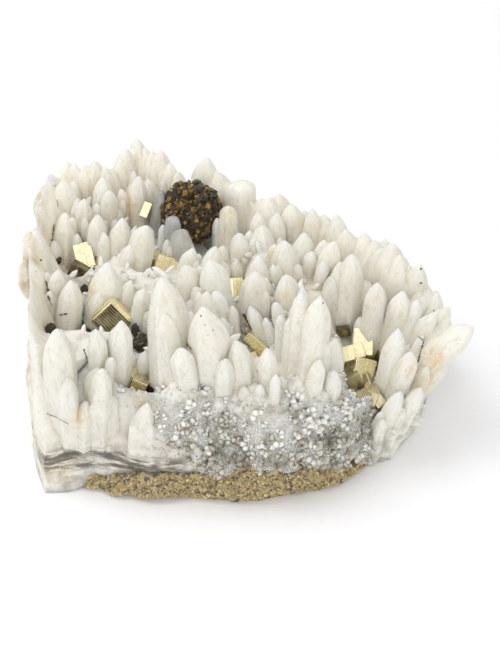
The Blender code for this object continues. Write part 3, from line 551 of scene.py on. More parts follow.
# Heights and distances from which a straight line is sure to start outside the quartz
ABOVE_ALL = 100.0 * MM
BESIDE_ALL = 40.0 * MM

# Parts of the plan's edge farther than this say nothing about being inside it
EDGE_REACH = 30.0 * MM

# A crystal still hides what stands before its axis by this share of its radius, and
# from foot to tip it narrows in the picture by this share
HIDING_DEPTH = 0.5
SEEN_TAPER = 0.6

# Heights at which two crystals are kept apart, and the share of a tip's radius that shows
COMPARED_HEIGHTS = (0.3, 0.5, 0.7)
SHOWN_TIP = 0.2

# Share of a mineral's breadth within which nothing may hide it
SHOWN_SHARE = 0.42

# Lean of the wall crystals along X, Y and Z, beside one unit outwards
WALL_LEAN = ((-0.4, 0.4), (-0.3, 0.3), (0.8, 1.8))


class Stem(NamedTuple):
    """A crystal in the frame: foot and tip points and a radius, in metres."""
    foot: Vector
    tip: Vector
    radius: float
    blunt: bool = False
    full: bool = False


def foot_on_crust(surface, place):
    """The crust's surface above or below a place, or the nearest part of its edge."""
    above = Vector((place.x, place.y, ABOVE_ALL))
    found = surface.ray_cast(above, Vector((0, 0, -1)))[0]
    return found or surface.find_nearest(place)[0]


def seen_stems(surface):
    """Crystals of the three lists, each from its foot on the crust to its tip."""
    rng = random.Random(SEED + 5)
    rows = [(row, BACK_LEAN, BACK_BREADTH, False) for row in BACK_CRYSTALS]
    rows += [(row, MIDDLE_LEAN, 1.0, False) for row in MIDDLE_CRYSTALS]
    rows += [(row, FRONT_LEAN, 1.0, True) for row in FRONT_CRYSTALS]
    stems = []
    for row, lean, breadth, full in rows:
        direction = sight_direction(row.foot)
        foot = surface.ray_cast(VIEWPOINT, direction)[0] if full else None
        if foot is None:
            foot = foot_on_crust(surface, place_at_height(row.foot, FOOT_LEVEL))
        tip = place_at_depth(row.tip, foot.y + (row.back + rng.uniform(*lean)) * MM)
        scale = picture_place((foot + tip) / 2)[2]
        radius = row.width / scale / SEEN_WIDTH * breadth
        if full:
            foot += direction * WALL_SINK * radius
        stems.append(Stem(foot, tip, radius, row.blunt, full))
    return stems


def inside_plan(point, margin):
    """Whether a place lies inside the plan by at least a margin."""
    return all((point - edge).dot(outward) < -margin or (point - edge).length > EDGE_REACH
               for edge, outward in outline_ring())


def skyline(across):
    """How high in the picture the back row reaches at a place across it."""
    return along([row.tip for row in BACK_CRYSTALS], across)


def hides(stem, spot, reach):
    """Whether a crystal stands before a point of the frame, as seen in the picture."""
    across, down, scale = picture_place(spot)
    low = Vector(picture_place(stem.foot)[:2])
    high = Vector(picture_place(stem.tip)[:2])
    seen = Vector((across, down))
    share = clamped((seen - low).dot(high - low) / (high - low).length_squared)
    on_axis = stem.foot.lerp(stem.tip, share)
    if (on_axis - spot).dot(TOWARDS_VIEWER) < -HIDING_DEPTH * stem.radius:
        return False
    half_width = stem.radius * (1.0 - SEEN_TAPER * share)
    return (seen - low.lerp(high, share)).length < (half_width + reach) * scale


def stands_free(stem, stems, spots):
    """Whether a crystal keeps clear of others, of the skyline and of what must show."""
    middle = (stem.foot + stem.tip) / 2
    for other in stems:
        heights = [other.foot.lerp(other.tip, share) for share in COMPARED_HEIGHTS]
        nearest = min((height - middle).length for height in heights)
        if nearest < CLOSEST * (stem.radius + other.radius):
            return False
        if hides(stem, other.tip, SHOWN_TIP * other.radius):
            return False
    across, down, _ = picture_place(stem.tip)
    if down < skyline(across) + SKYLINE_MARGIN:
        return False
    return not any(hides(stem, spot, reach) for spot, reach in spots)


def filling_stems(surface, stems, spots):
    """Crystals between those that can be told apart, on a loose grid."""
    rng = random.Random(SEED + 3)
    stems = list(stems)
    added = []
    width, depth = FIELD_SIZE
    columns = int(width / FILL_SPACING)
    rows = int(depth / FILL_SPACING)
    for row in range(rows):
        for column in range(columns):
            across = column + 0.5 * (row % 2) + rng.uniform(-FILL_WANDER, FILL_WANDER)
            back = row + rng.uniform(-FILL_WANDER, FILL_WANDER)
            x = across * FILL_SPACING - width / 2
            y = back * FILL_SPACING - depth / 2
            radius = rng.uniform(*FILL_RADIUS)
            height = rng.uniform(*FILL_HEIGHT)
            sway_x = rng.uniform(-FILL_SWAY, FILL_SWAY)
            sway_y = rng.uniform(-FILL_SWAY, FILL_SWAY)
            place = Vector((x, y))
            if not inside_plan(place, FILL_MARGIN):
                continue
            foot = foot_on_crust(surface, place)
            lean_x = max(0.0, x) / (width / 2) * FILL_LEAN[0]
            lean_y = max(0.0, y) / (depth / 2) * FILL_LEAN[1]
            lean = Vector((lean_x + sway_x, lean_y + sway_y, 1.0))
            for shrink in FILL_SHRINKS:
                tip = foot + lean.normalized() * height * shrink
                stem = Stem(foot, tip, radius)
                if stands_free(stem, stems, spots):
                    stems.append(stem)
                    added.append(stem)
                    break
    return added


def wall_stems(surface, spots):
    """Short crystals that stick out of the crust's walls."""
    rng = random.Random(SEED + 4)
    stems = []
    ring = outline_ring()
    turn = 0
    while len(stems) < WALL_CRYSTAL_COUNT:
        point, outward = ring[turn * WALL_STRIDE % OUTLINE_COUNT]
        turn += 1
        height = crust_height(point)
        hidden = 1.0 if outward.y > 0.0 else 0.0
        level = rng.uniform(*WALL_LEVELS) * height
        lean = Vector([rng.uniform(*span) for span in WALL_LEAN])
        radius = rng.uniform(*WALL_RADIUS) + HIDDEN_RADIUS_MORE * hidden
        length = rng.uniform(*WALL_LENGTH) + HIDDEN_LENGTH_MORE * hidden
        if left_share(outward) > 0.0 or (outward.y < FRONT_FACING and point.x < SMOOTH_WALL_END):
            continue
        start = Vector((*(point + outward * BESIDE_ALL), level))
        foot = surface.ray_cast(start, Vector((-outward.x, -outward.y, 0)))[0]
        if foot is None or foot.z < matrix_height(point, outward) + WALL_CLEARANCE:
            continue
        axis = (Vector((outward.x, outward.y, 0)) + lean).normalized()
        stem = Stem(foot, foot + axis * length, radius)
        if not any(hides(stem, spot, reach) for spot, reach in spots):
            stems.append(stem)
    return stems


def middle_of(node):
    """Middle of a node's box in the frame."""
    low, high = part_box(node)
    return (low + high) / 2


def inclusion_places(crust):
    """(node, part, middle) of each block and lump, on the quartz behind its pixel."""
    places = []
    for name, parts in INCLUSIONS.items():
        for part in parts:
            direction = sight_direction(part.at)
            behind = crust.ray_cast(VIEWPOINT, direction)[0]
            middle = behind - direction * part.proud * MM if behind else middle_of(name)
            places.append((name, part, middle))
    return places


def spot_to_show(part, middle):
    """Place and radius of a block or lump that no filling crystal may hide."""
    breadth = max(part.size[:2]) if isinstance(part, Block) else 2 * part.radii[0]
    return middle, SHOWN_SHARE * breadth * MM


class Layout:
    """Where everything stands, worked out once from the tables and the frame."""

    def __init__(self):
        self.crust = surface_of(crust_form())
        self.seen = seen_stems(self.crust)
        self.places = inclusion_places(self.crust)
        self.spots = [spot_to_show(part, middle) for _, part, middle in self.places]
        self.filling = filling_stems(self.crust, self.seen, self.spots)
        self.walls = wall_stems(self.crust, self.spots)


layout = Layout()


# Settings

def shade(name, description, default):
    """A colour that a user may change."""
    return bpy.props.FloatVectorProperty(
        name=name, description=description, default=default, subtype="COLOR", size=3, min=0.0, max=1.0)


def fraction(name, description, default):
    """A share from nothing to all."""
    return bpy.props.FloatProperty(
        name=name, description=description, default=default, subtype="FACTOR", min=0.0, max=1.0)


def measure(name, description, default):
    """A length in the specimen."""
    return bpy.props.FloatProperty(
        name=name, description=description, default=default, subtype="DISTANCE", unit="LENGTH", min=0.0)


class QuartzSettings(bpy.types.PropertyGroup):
    """Form and finish of the quartz."""
    milky: shade("Milky quartz", "Colour of the thick milky quartz", (0.945, 0.92, 0.84))
    warm: shade("Warm quartz", "Colour of the stained quartz at the back", (0.96, 0.905, 0.795))
    grey: shade("Grey quartz", "Colour of the clearer quartz at the foot", (0.45, 0.42, 0.34))
    clear: shade("Clear quartz", "Colour of the quartz that can be seen through", (0.86, 0.87, 0.86))
    shadow: shade("Dark layers", "Colour of the dark layers at the left foot", (0.11, 0.10, 0.08))
    stain: shade("Iron stain", "Colour of the rusty stains", (0.80, 0.56, 0.26))
    tan: shade("Broken side", "Colour of the broken left side", (0.66, 0.57, 0.41))
    scatter: measure("Scatter depth", "How deep light spreads in the quartz", 4.5 * MM)
    clear_share: fraction("Clearness", "Share of light that passes straight through", 0.12)
    roughness: fraction("Roughness", "Roughness of the crystal faces", 0.36)
    ogive: bpy.props.FloatProperty(
        name="Point stretch", description="How far the rounded point reaches below its shoulder",
        default=1.45, min=1.0, max=3.0)
    sugar_small: measure("Smallest sugar crystal", "Radius of the smallest sugary crystals", 0.22 * MM)
    sugar_large: measure("Largest sugar crystal", "Radius of the largest sugary crystals", 0.58 * MM)
    stub_small: measure("Smallest stub", "Radius of the smallest stubby crystals", 0.6 * MM)
    stub_large: measure("Largest stub", "Radius of the largest stubby crystals", 1.35 * MM)
    bed_small: measure("Smallest small point", "Radius of the smallest points on the crust", 0.5 * MM)
    bed_large: measure("Largest small point", "Radius of the largest points on the crust", 1.5 * MM)
    bed_spacing: measure("Small point spacing", "Distance between the small points on the crust", 2.6 * MM)
    stub_spacing: measure("Stub spacing", "Distance between stubby crystals", 2.5 * MM)
    sugar_spacing: measure("Sugar spacing", "Distance between sugary crystals", 0.62 * MM)


class GrainSettings(bpy.types.PropertyGroup):
    """Form and finish of the granular pyrite."""
    gold: shade("Gold grains", "Colour of the brightest grains", (0.72, 0.59, 0.33))
    brown: shade("Brown grains", "Colour of most grains", (0.52, 0.41, 0.22))
    dark: shade("Dark grains", "Colour of the dark grains", (0.13, 0.11, 0.075))
    small: measure("Smallest grain", "Half the side of the smallest grains", 0.15 * MM)
    large: measure("Largest grain", "Half the side of the largest grains", 0.46 * MM)
    spacing: measure("Grain spacing", "Distance between grains", 0.64 * MM)


class PyriteSettings(bpy.types.PropertyGroup):
    """Form and finish of the pyrite crystals."""
    gold: shade("Bright faces", "Colour of the bright faces", (1.0, 0.90, 0.58))
    # Colour of the tarnish; on the cube's front face it is also painted dark reflection
    tarnish_and_reflection_colour: shade("Dull faces", "Colour of the tarnished faces", (0.06, 0.042, 0.02))
    bevel: measure("Edge", "Width of the crystals' worn edges", 0.18 * MM)
    groove: measure("Groove depth", "Depth of the growth grooves", 0.07 * MM)
    pitch: measure("Groove spacing", "Distance between growth grooves", 0.55 * MM)
    line: measure("Line spacing", "Distance between the lines of the tarnish", 0.85 * MM)


class BrownSettings(bpy.types.PropertyGroup):
    """Form and finish of the brown mineral."""
    dark: shade("Dark brown", "Colour of most of the mineral", (0.042, 0.027, 0.012))
    # Amber: partly the grains' own colour, partly painted glints
    amber: shade("Amber", "Colour of the crystals that let light through", (0.46, 0.27, 0.055))
    small: measure("Smallest crystal", "Radius of the nodule's smallest crystals", 0.25 * MM)
    large: measure("Largest crystal", "Radius of the nodule's largest crystals", 0.85 * MM)
    spacing: measure("Crystal spacing", "Distance between the nodule's crystals", 0.72 * MM)


class StageSettings(bpy.types.PropertyGroup):
    """Floor and light of the studio."""
    floor: shade("Floor", "Colour of the floor", (0.95, 0.95, 0.96))
    world: bpy.props.FloatProperty(
        name="World light", description="Strength of the even light", default=0.73, min=0.0)
    key: bpy.props.FloatProperty(
        name="Key light", description="Power of the light at the upper left", default=3.5, subtype="POWER")
    fill: bpy.props.FloatProperty(
        name="Fill light", description="Power of the light behind the camera", default=2.3, subtype="POWER")


# Material nodes

def lead(tree, value, socket):
    """Lead a socket or a constant into a socket of a node tree."""
    if isinstance(value, bpy.types.NodeSocket):
        tree.links.new(value, socket)
    elif isinstance(value, (int, float, str)):
        socket.default_value = value
    else:
        socket.default_value = (*value, 1.0) if len(socket.default_value) == 4 else tuple(value)


def fed(tree, kind, inputs, **values):
    """Outputs of a new node, with sockets or constants led into its inputs."""
    made = tree.nodes.new(kind)
    for key, value in values.items():
        setattr(made, key, value)
    for key, value in inputs.items():
        lead(tree, value, made.inputs[key])
    return made.outputs


class Surface:
    """A material under construction: a Principled shader and nodes that lead to it."""

    def __init__(self, name, body):
        self.material = bpy.data.materials.new(name)
        self.material.use_nodes = True
        self.tree = self.material.node_tree
        self.place = self.node("ShaderNodeTexCoord", {})["Object"]
        self.body = body

    def node(self, kind, inputs, **values):
        return fed(self.tree, kind, inputs, **values)

    def finished(self, **values):
        """The material, once its colour and the shader's other values are led in."""
        sockets = self.tree.nodes["Principled BSDF"].inputs
        lead(self.tree, self.body, sockets["Base Color"])
        for key, value in values.items():
            lead(self.tree, value, sockets[key.replace("_", " ")])
        return self.material

    def chain(self, operation, *values):
        """One value of several, worked out from the first to the last."""
        made = values[0]
        for value in values[1:]:
            made = self.node("ShaderNodeMath", {0: made, 1: value}, operation=operation)[0]
        return made

    def product(self, *values):
        return self.chain("MULTIPLY", *values)

    def total(self, *values):
        return self.chain("ADD", *values)

    def ramp(self, value, low, high, start=0.0, end=1.0):
        """Value taken smoothly from start at low to end at high."""
        inputs = dict(enumerate((value, low, high, start, end)))
        return self.node("ShaderNodeMapRange", inputs, interpolation_type="SMOOTHSTEP")[0]

    def mix(self, factor, first, second):
        return self.node("ShaderNodeMix", {0: factor, 6: first, 7: second}, data_type="RGBA")[2]

    def cover(self, colour, *shares):
        """Lay a colour over the body's, as far as a product of shares says."""
        self.body = self.mix(self.product(*shares), self.body, colour)

    def noise(self, size, detail=3.0, roughness=0.55, place=None):
        """Soft noise whose patches measure about a size in metres."""
        inputs = {"Vector": place or self.place, "Scale": 1.0 / size, "Detail": detail,
                  "Roughness": roughness}
        return self.node("ShaderNodeTexNoise", inputs)["Fac"]

    def cells(self, size):
        """A colour for each of the cells that measure about a size in metres."""
        return self.node("ShaderNodeTexVoronoi", {"Vector": self.place, "Scale": 1.0 / size})["Color"]

    def waves(self, along_them, pace, sway, amount):
        """Waves of a pace in radians per metre, which sway by an amount with a noise."""
        angle = self.total(self.product(along_them, pace), self.product(sway, amount))
        return self.node("ShaderNodeMath", {0: angle}, operation="SINE")[0]

    def stretched(self, x, y, z):
        """Object coordinates, stretched by shares of their own size."""
        return self.node("ShaderNodeMapping", {"Vector": self.place, "Scale": (1.0 / x, 1.0 / y, 1.0 / z)})[0]

    def attribute(self, name):
        """The red, green and blue of a mesh attribute."""
        colour = self.node("ShaderNodeAttribute", {}, attribute_name=name)["Color"]
        return self.node("ShaderNodeSeparateColor", {0: colour})

    def uv(self, name):
        return self.split(self.node("ShaderNodeUVMap", {}, uv_map=name)["UV"])

    def split(self, vector):
        return self.node("ShaderNodeSeparateXYZ", {0: vector})

    def combined(self, *values):
        return self.node("ShaderNodeCombineXYZ", dict(enumerate(values)))[0]

    def bump(self, height, depth, strength, under=None):
        inputs = {"Strength": strength, "Distance": depth, "Height": height}
        if under:
            inputs["Normal"] = under
        return self.node("ShaderNodeBump", inputs)["Normal"]


# Meshes

def new_piece(name, mesh, surface, nodes):
    """Finished piece: shown, named, riding on the body and standing for its nodes."""
    piece = bpy.data.objects.new(name, mesh)
    bpy.context.scene.collection.objects.link(piece)
    if surface:
        mesh.materials.clear()
        mesh.materials.append(surface)
    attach(piece, BODY)
    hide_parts(*nodes)


def smooth(mesh, crease):
    """Shade a mesh smooth but for edges that turn by more than a crease in degrees."""
    mesh.shade_smooth()
    mesh.set_sharp_from_angle(angle=math.radians(crease))


def mesh_of(bm, name, crease=None):
    """Mesh from a bmesh, smooth but for a crease if one is given."""
    bmesh.ops.recalc_face_normals(bm, faces=bm.faces)
    mesh = bpy.data.meshes.new(name)
    bm.to_mesh(mesh)
    bm.free()
    if crease is not None:
        smooth(mesh, crease)
    return mesh


def tree_of(mesh):
    """Search tree of the faces of a mesh."""
    return BVHTree.FromPolygons([vert.co for vert in mesh.vertices],
                                [tuple(face.vertices) for face in mesh.polygons])


def evaluated(piece):
    """Plain mesh of an object with its modifiers applied."""
    graph = bpy.context.evaluated_depsgraph_get()
    return bpy.data.meshes.new_from_object(piece.evaluated_get(graph))


def joined(base, parts, name, operation="UNION"):
    """Mesh of one skin round a base mesh and other meshes, or of what they leave of it."""
    holder = bpy.data.objects.new(name, base)
    bpy.context.scene.collection.objects.link(holder)
    others = bpy.data.collections.new(name)
    bpy.context.scene.collection.children.link(others)
    for part in parts:
        others.objects.link(bpy.data.objects.new(name, part))
    union = holder.modifiers.new("union", "BOOLEAN")
    union.operation = operation
    union.operand_type = "COLLECTION"
    union.collection = others
    union.solver = "MANIFOLD"
    mesh = evaluated(holder)
    for part in list(others.objects):
        bpy.data.objects.remove(part)
    bpy.data.collections.remove(others)
    bpy.data.objects.remove(holder)
    if not mesh.polygons:
        raise RuntimeError(f"the parts of {name} did not join")
    return mesh


# Size of the block that cuts the quartz off at its foot
BELOW_SIZE = (0.3, 0.3, 0.05)


def below_mesh():
    """Everything under the quartz's foot."""
    bm = bmesh.new()
    bmesh.ops.create_cube(bm, size=1.0)
    bmesh.ops.scale(bm, vec=BELOW_SIZE, verts=bm.verts)
    bmesh.ops.translate(bm, vec=(0.0, 0.0, SKIRT_FOOT - BELOW_SIZE[2] / 2), verts=bm.verts)
    mesh = mesh_of(bm, "below")
    mesh.attributes.new("looks", "FLOAT_COLOR", "CORNER")
    return mesh


def paint(mesh, colour):
    """Store one colour in the corner attribute that tells crystals apart."""
    looks = mesh.attributes.new("looks", "FLOAT_COLOR", "CORNER")
    looks.data.foreach_set("color", [*colour, 1.0] * len(mesh.loops))


def rough(place, size, octaves=3):
    """Noise between about -1 and 1 whose lumps measure about a size."""
    return noise.fractal(place / size, 1.0, 2.0, octaves)


def refine(bm, longest):
    """Cut edges until none is longer than a length."""
    while True:
        long_edges = [edge for edge in bm.edges if edge.calc_length() > longest]
        if not long_edges:
            return
        bmesh.ops.subdivide_edges(bm, edges=long_edges, cuts=1, use_grid_fill=True)


# Quartz crystals

# Levels across a side and up a point at which a crystal has corners of its own
COLUMN_SHARES = (0.05, 0.15, 0.85, 0.95)
FINE_POINT = (0.0, 0.2, 0.4, 0.56, 0.7, 0.82, 0.91, 0.97)
COARSE_POINT = (0.0, 0.35, 0.65, 0.88)
SMALL_RADIUS = 2.6 * MM
PRISM_RING = 6.0 * MM

# How a point narrows: the powers of a sharp one and of a blunt one
POINT_POWER = 0.82
BLUNT_POWER = 5.0
BLUNT_ROUNDING = 0.4
ALTERNATION_SPREAD = (0.4, 1.2)
LEAST_SHOULDER = 0.12

# Wear of a crystal's sides, in shares of its radius
BULGE = 0.015
STEP_DEPTH = 0.02
STEP_COUNT = 2
STEP_PLACES = (0.2, 0.9)
FACE_WAVE = 0.015
FACE_WAVE_PACE = 0.9
NOISE_REACH = 10.0
PLUMP = 1.1
FLARE = 0.2
FULL_FLARE = 0.08

# Columns of corners that the growth lines take for one radius
GROWTH_COLUMNS = 3.0

# Roots: (depth below the foot, share of the radius), and how far the roots of the
# front crystals bend back into the wall for each part of that depth
FREE_ROOT = ((CRYSTAL_ROOT, ROOT_SHARE), (ROOT_SHOULDER, PLUMP))
FULL_ROOT = ((17.0 * MM, 0.6), (11.0 * MM, 1.0), (5.0 * MM, 1.1))
ROOT_BEND = 0.15
INTO_WALL = Vector((0.0, 0.62, 0.0))


def point_profile(u, blunt):
    """Share of its full width that a crystal has a share u up its point."""
    if blunt:
        return (1.0 - u ** BLUNT_POWER) ** BLUNT_ROUNDING
    return (1.0 - u * u) ** POINT_POWER


def crystal_columns(side, other, stem, shoulder, stretch, rng):
    """(outward vector, level where the point starts) of each column of corners."""
    length = (stem.tip - stem.foot).length
    corners = []
    for corner in range(6):
        angle = math.tau * corner / 6 + rng.uniform(-CORNER_TURN, CORNER_TURN)
        outwards = (side * math.cos(angle) + other * math.sin(angle)) * stem.radius
        outwards *= rng.uniform(*CORNER_REACH)
        alternate = FACE_ALTERNATION if corner % 2 else -FACE_ALTERNATION
        corners.append((outwards, shoulder + stem.radius * alternate * rng.uniform(*ALTERNATION_SPREAD)))
    columns = []
    for (near, near_top), (far, far_top) in zip(corners, corners[1:] + corners[:1]):
        for along_side in COLUMN_SHARES:
            swell = 1.0 + BULGE * (1.0 - abs(2.0 * along_side - 1.0))
            start = near_top + (far_top - near_top) * along_side
            start = max(LEAST_SHOULDER * length, length - (length - start) * stretch)
            columns.append((near.lerp(far, along_side) * swell, start))
    return columns


def quartz_mesh(stem, rng, fine_rng, looks, stretch):
    """One quartz crystal: a six-sided prism drawn in smoothly to its point."""
    foot, tip, radius, blunt, full = stem
    length = (tip - foot).length
    axis = (tip - foot) / length
    side = axis.orthogonal().normalized()
    side = Matrix.Rotation(rng.uniform(0.0, math.tau), 3, axis) @ side
    other = axis.cross(side)
    taper = rng.uniform(*TAPER)
    shoulder = length - radius * rng.uniform(*(FULL_POINT_LENGTH if full else POINT_LENGTH))
    wander = side * rng.uniform(-1, 1) + other * rng.uniform(-1, 1)
    drift = wander * radius * APEX_WANDER
    columns = crystal_columns(side, other, stem, shoulder, stretch, rng)
    small = radius < SMALL_RADIUS
    point_levels = COARSE_POINT if small else FINE_POINT
    prism_rings = max(2, int(shoulder / PRISM_RING / (2.0 if small else 1.0)))
    seed = Vector([fine_rng.uniform(-NOISE_REACH, NOISE_REACH) for _ in range(3)])
    steps = sorted(fine_rng.uniform(*STEP_PLACES) for _ in range(STEP_COUNT))
    bm = bmesh.new()
    growth = bm.loops.layers.uv.new("growth")
    rows = []
    heights = []

    def ring(levels, widths, lift, depth=0.0):
        row = []
        for (outwards, _), level, width in zip(columns, levels, widths):
            spot = outwards * width + axis * level
            wave = 1.0 + FACE_WAVE * rough(spot / radius * FACE_WAVE_PACE * MM + seed * MM, MM, 2)
            place = foot + outwards * width * wave + axis * level + drift * lift
            row.append(bm.verts.new(place + INTO_WALL * depth))
        rows.append(row)
        heights.append(levels[0])

    count = len(columns)
    root = FULL_ROOT if full else FREE_ROOT
    bend = ROOT_BEND if full else 0.0
    for depth, width in root:
        ring([-depth] * count, [width] * count, 0.0, depth * bend)
    for index in range(prism_rings):
        share_up = index / prism_rings
        levels = [start * share_up for _, start in columns]
        worn = STEP_DEPTH * sum(share_up > step for step in steps)
        wide = PLUMP + (FULL_FLARE if full else FLARE) * (1.0 - share_up) ** 2 - worn
        ring(levels, [wide - 0.5 * taper * level / length for level in levels], 0.0)
    worn = STEP_DEPTH * len(steps)
    for u in point_levels:
        levels = [start + (length - start) * u for _, start in columns]
        body = [PLUMP - 0.5 * taper * start / length - worn for _, start in columns]
        ring(levels, [wide * point_profile(u, blunt) for wide in body], u * u)
    low = bm.verts.new(foot - axis * root[0][0] + INTO_WALL * root[0][0] * bend)
    high = bm.verts.new(tip + drift)
    for level, (lower, upper) in enumerate(zip(rows, rows[1:])):
        for index in range(count):
            after = (index + 1) % count
            face = bm.faces.new((lower[index], lower[after], upper[after], upper[index]))
            spots = ((index, 0), (index + 1, 0), (index + 1, 1), (index, 1))
            for loop, (column, up) in zip(face.loops, spots):
                loop[growth].uv = (column * radius / GROWTH_COLUMNS, heights[level + up])
    for index in range(count):
        after = (index + 1) % count
        bm.faces.new((low, rows[0][after], rows[0][index]))
        face = bm.faces.new((high, rows[-1][index], rows[-1][after]))
        for loop in face.loops:
            loop[growth].uv = (index * radius / GROWTH_COLUMNS, length)
    mesh = mesh_of(bm, "crystal")
    paint(mesh, looks)
    return mesh


# Crystals are warmer towards the back: where that starts and over how far, in mm, and
# how warm they get, with the spread of warmth and of clearness
WARM_START = 25.0
WARM_REACH = 60.0
WARM_MOST = 0.75
WARM_SPREAD = (-0.12, 0.25)
CLEAR_SPREAD = (-0.25, 0.45)


def crystal_looks(stem, rng):
    """Warmth, clearness and brightness of one crystal, by where it stands."""
    back = clamped((stem.tip.y / MM + WARM_START) / WARM_REACH)
    warm = clamped(back * WARM_MOST + rng.uniform(*WARM_SPREAD))
    clear = clamped(rng.uniform(*CLEAR_SPREAD))
    return warm, clear, rng.uniform(0.0, 1.0)


# Smaller crystals round the feet of the larger ones, as shares of those
COMPANION_RADIUS = (0.42, 0.72)
COMPANION_LENGTH = (0.5, 0.84)
COMPANION_OFFSET = (0.9, 1.3)
COMPANION_LEAN = 0.1
COMPANION_TURN = 0.25
COMPANION_SINK = 0.35
LEAST_PARENT = 2.8 * MM

# How many stand round one crystal: elsewhere, on the front wall and on its smooth part
COMPANIONS = 4
FRONT_COMPANIONS = 5
SMOOTH_COMPANIONS = 2

# Shares of a mineral's spot and of a tip's radius that they leave free
FREE_SPOT = 0.8
FREE_TIP = 0.3


def companion_stems(stems, spots, rng):
    """Smaller crystals that stand against the larger ones and fill the gaps between."""
    added = []
    for stem in stems:
        if stem.radius < LEAST_PARENT:
            continue
        axis = stem.tip - stem.foot
        side = axis.orthogonal().normalized()
        other = axis.normalized().cross(side)
        first = rng.uniform(0.0, math.tau)
        count = FRONT_COMPANIONS if stem.full else COMPANIONS
        if stem.full and stem.foot.x < SMOOTH_WALL_END:
            count = SMOOTH_COMPANIONS
        others = [seen for seen in stems if seen is not stem]
        for turn in range(count):
            angle = first + math.tau * (turn + rng.uniform(-COMPANION_TURN, COMPANION_TURN)) / count
            away = side * math.cos(angle) + other * math.sin(angle)
            foot = stem.foot + away * stem.radius * rng.uniform(*COMPANION_OFFSET)
            foot -= TOWARDS_VIEWER * (COMPANION_SINK * stem.radius if stem.full else 0.0)
            rise = axis * rng.uniform(*COMPANION_LENGTH)
            outwards = away * rng.uniform(0.0, 1.0)
            sway = Vector((rng.uniform(-1, 1), rng.uniform(-1, 1), 0.0))
            tip = foot + rise + (outwards + sway) * COMPANION_LEAN * rise.length
            companion = Stem(foot, tip, stem.radius * rng.uniform(*COMPANION_RADIUS))
            if any(hides(companion, spot, FREE_SPOT * wide) for spot, wide in spots):
                continue
            if any(hides(companion, seen.tip, FREE_TIP * seen.radius) for seen in others):
                continue
            added.append(companion)
    return added


# Crystals between two neighbours of the back row: places from one to the other, how
# far below the line between the two tips they end, and how thick they are
BETWEEN_SHARES = (0.3, 0.7)
BETWEEN_DROP = (1.6 * MM, 3.4 * MM)
LEAST_DROP = 0.4
BETWEEN_BREADTH = 0.5
BETWEEN_SPREAD = (0.85, 1.2)
FARTHEST_NEIGHBOUR = 16.0 * MM


def between_stems(rng):
    """Crystals that close the gaps between the tips of the back row."""
    row = layout.seen[:len(BACK_CRYSTALS)]
    added = []
    for stem, after in zip(row, row[1:]):
        apart = (after.tip - stem.tip).length
        for place in BETWEEN_SHARES:
            drop = rng.uniform(*BETWEEN_DROP) * min(1.0, apart / FARTHEST_NEIGHBOUR + LEAST_DROP)
            foot = stem.foot.lerp(after.foot, place)
            tip = stem.tip.lerp(after.tip, place)
            tip -= (tip - foot).normalized() * drop
            spread = min(apart, FARTHEST_NEIGHBOUR)
            added.append(Stem(foot, tip, spread * BETWEEN_BREADTH * rng.uniform(*BETWEEN_SPREAD)))
    return added

# Crust

# How far, in mm, the crust is raised between the crystals, and between which distances
# from a mineral that must show, in its radii, this sets in
BED_RISE = 10.0
BED_LUMPS = 2.0
BED_LUMP_SIZE = 9.0 * MM
BED_CLEARANCE = (1.6, 3.2)

# Small crystals cover the crust where it looks up by more than this, behind and above
# the front wall and away from the left side
BED_SLOPE = 0.45
BED_LEFT = -60.0 * MM
BED_FRONT = -34.0 * MM
BED_LEVEL = 16.0 * MM

# They also cover the walls that look back or right by more than this, between levels
WALL_SLOPE = 0.4
HIDDEN_WALL_LEVELS = (5.0 * MM, 30.0 * MM)


def on_bed(place, normal):
    """Whether the crust at a place is ground between the crystals, or a hidden wall."""
    hidden = normal.y > WALL_SLOPE or (normal.x > WALL_SLOPE and place.x > 0.0)
    if hidden and place.y > BED_FRONT:
        return HIDDEN_WALL_LEVELS[0] < place.z < HIDDEN_WALL_LEVELS[1]
    return normal.z > BED_SLOPE and place.x > BED_LEFT and place.z > BED_LEVEL and place.y > BED_FRONT


def bed_share(place):
    """1 where the crust may rise between crystals, 0 near another mineral."""
    share_up = 1.0
    for spot, wide in layout.spots:
        away = (place - spot).length / (wide / (2.0 * SHOWN_SHARE))
        share_up = min(share_up, (away - BED_CLEARANCE[0]) / (BED_CLEARANCE[1] - BED_CLEARANCE[0]))
    return max(0.0, share_up)


# Edge of the sugary part of the front wall, in mm: its level, how that rises to the
# right and from where, how the edge slants and is shifted, and how soft it is
SUGAR_BASE = 9.0
SUGAR_TILT = 0.12
SUGAR_TILT_START = 20.0
SUGAR_SLANT = 0.9
SUGAR_SHIFT = 6.0
SUGAR_EDGE = 7.0

# The sugar lies between these levels, fades below the upper one, and ends at the back
# and at the right
SUGAR_LEVELS = (4.4 * MM, 42.0 * MM)
SUGAR_FADE = 14.0 * MM
SUGAR_BACK = -20.0 * MM
SUGAR_RIGHT = 44.0 * MM


def sugar_share(place):
    """1 on the sugary part of the front wall, 0 on its smooth left part."""
    across = (place.x - SMOOTH_WALL_END) / MM
    level = place.z / MM - SUGAR_BASE - SUGAR_TILT * (place.x / MM + SUGAR_TILT_START)
    edge = across + SUGAR_SLANT * level - SUGAR_SHIFT
    return clamped(edge / SUGAR_EDGE + 0.5)


CRUST_CUTS = 7

# The crust's left and front walls, in mm: where each starts and over how far
LEFT_START = 66.0
LEFT_REACH = 4.0
FRONT_START = 20.0
FRONT_REACH = 20.0

# Levels over which the front wall starts to swell and stops, and how much it swells
SWELL_START = 3.0
SWELL_RISE = 12.0
SWELL_END = 40.0
SWELL_FALL = 8.0
SWELL_FACING = 0.2
WALL_SWELL = 1.9
LEFT_FLATTENING = 1.6

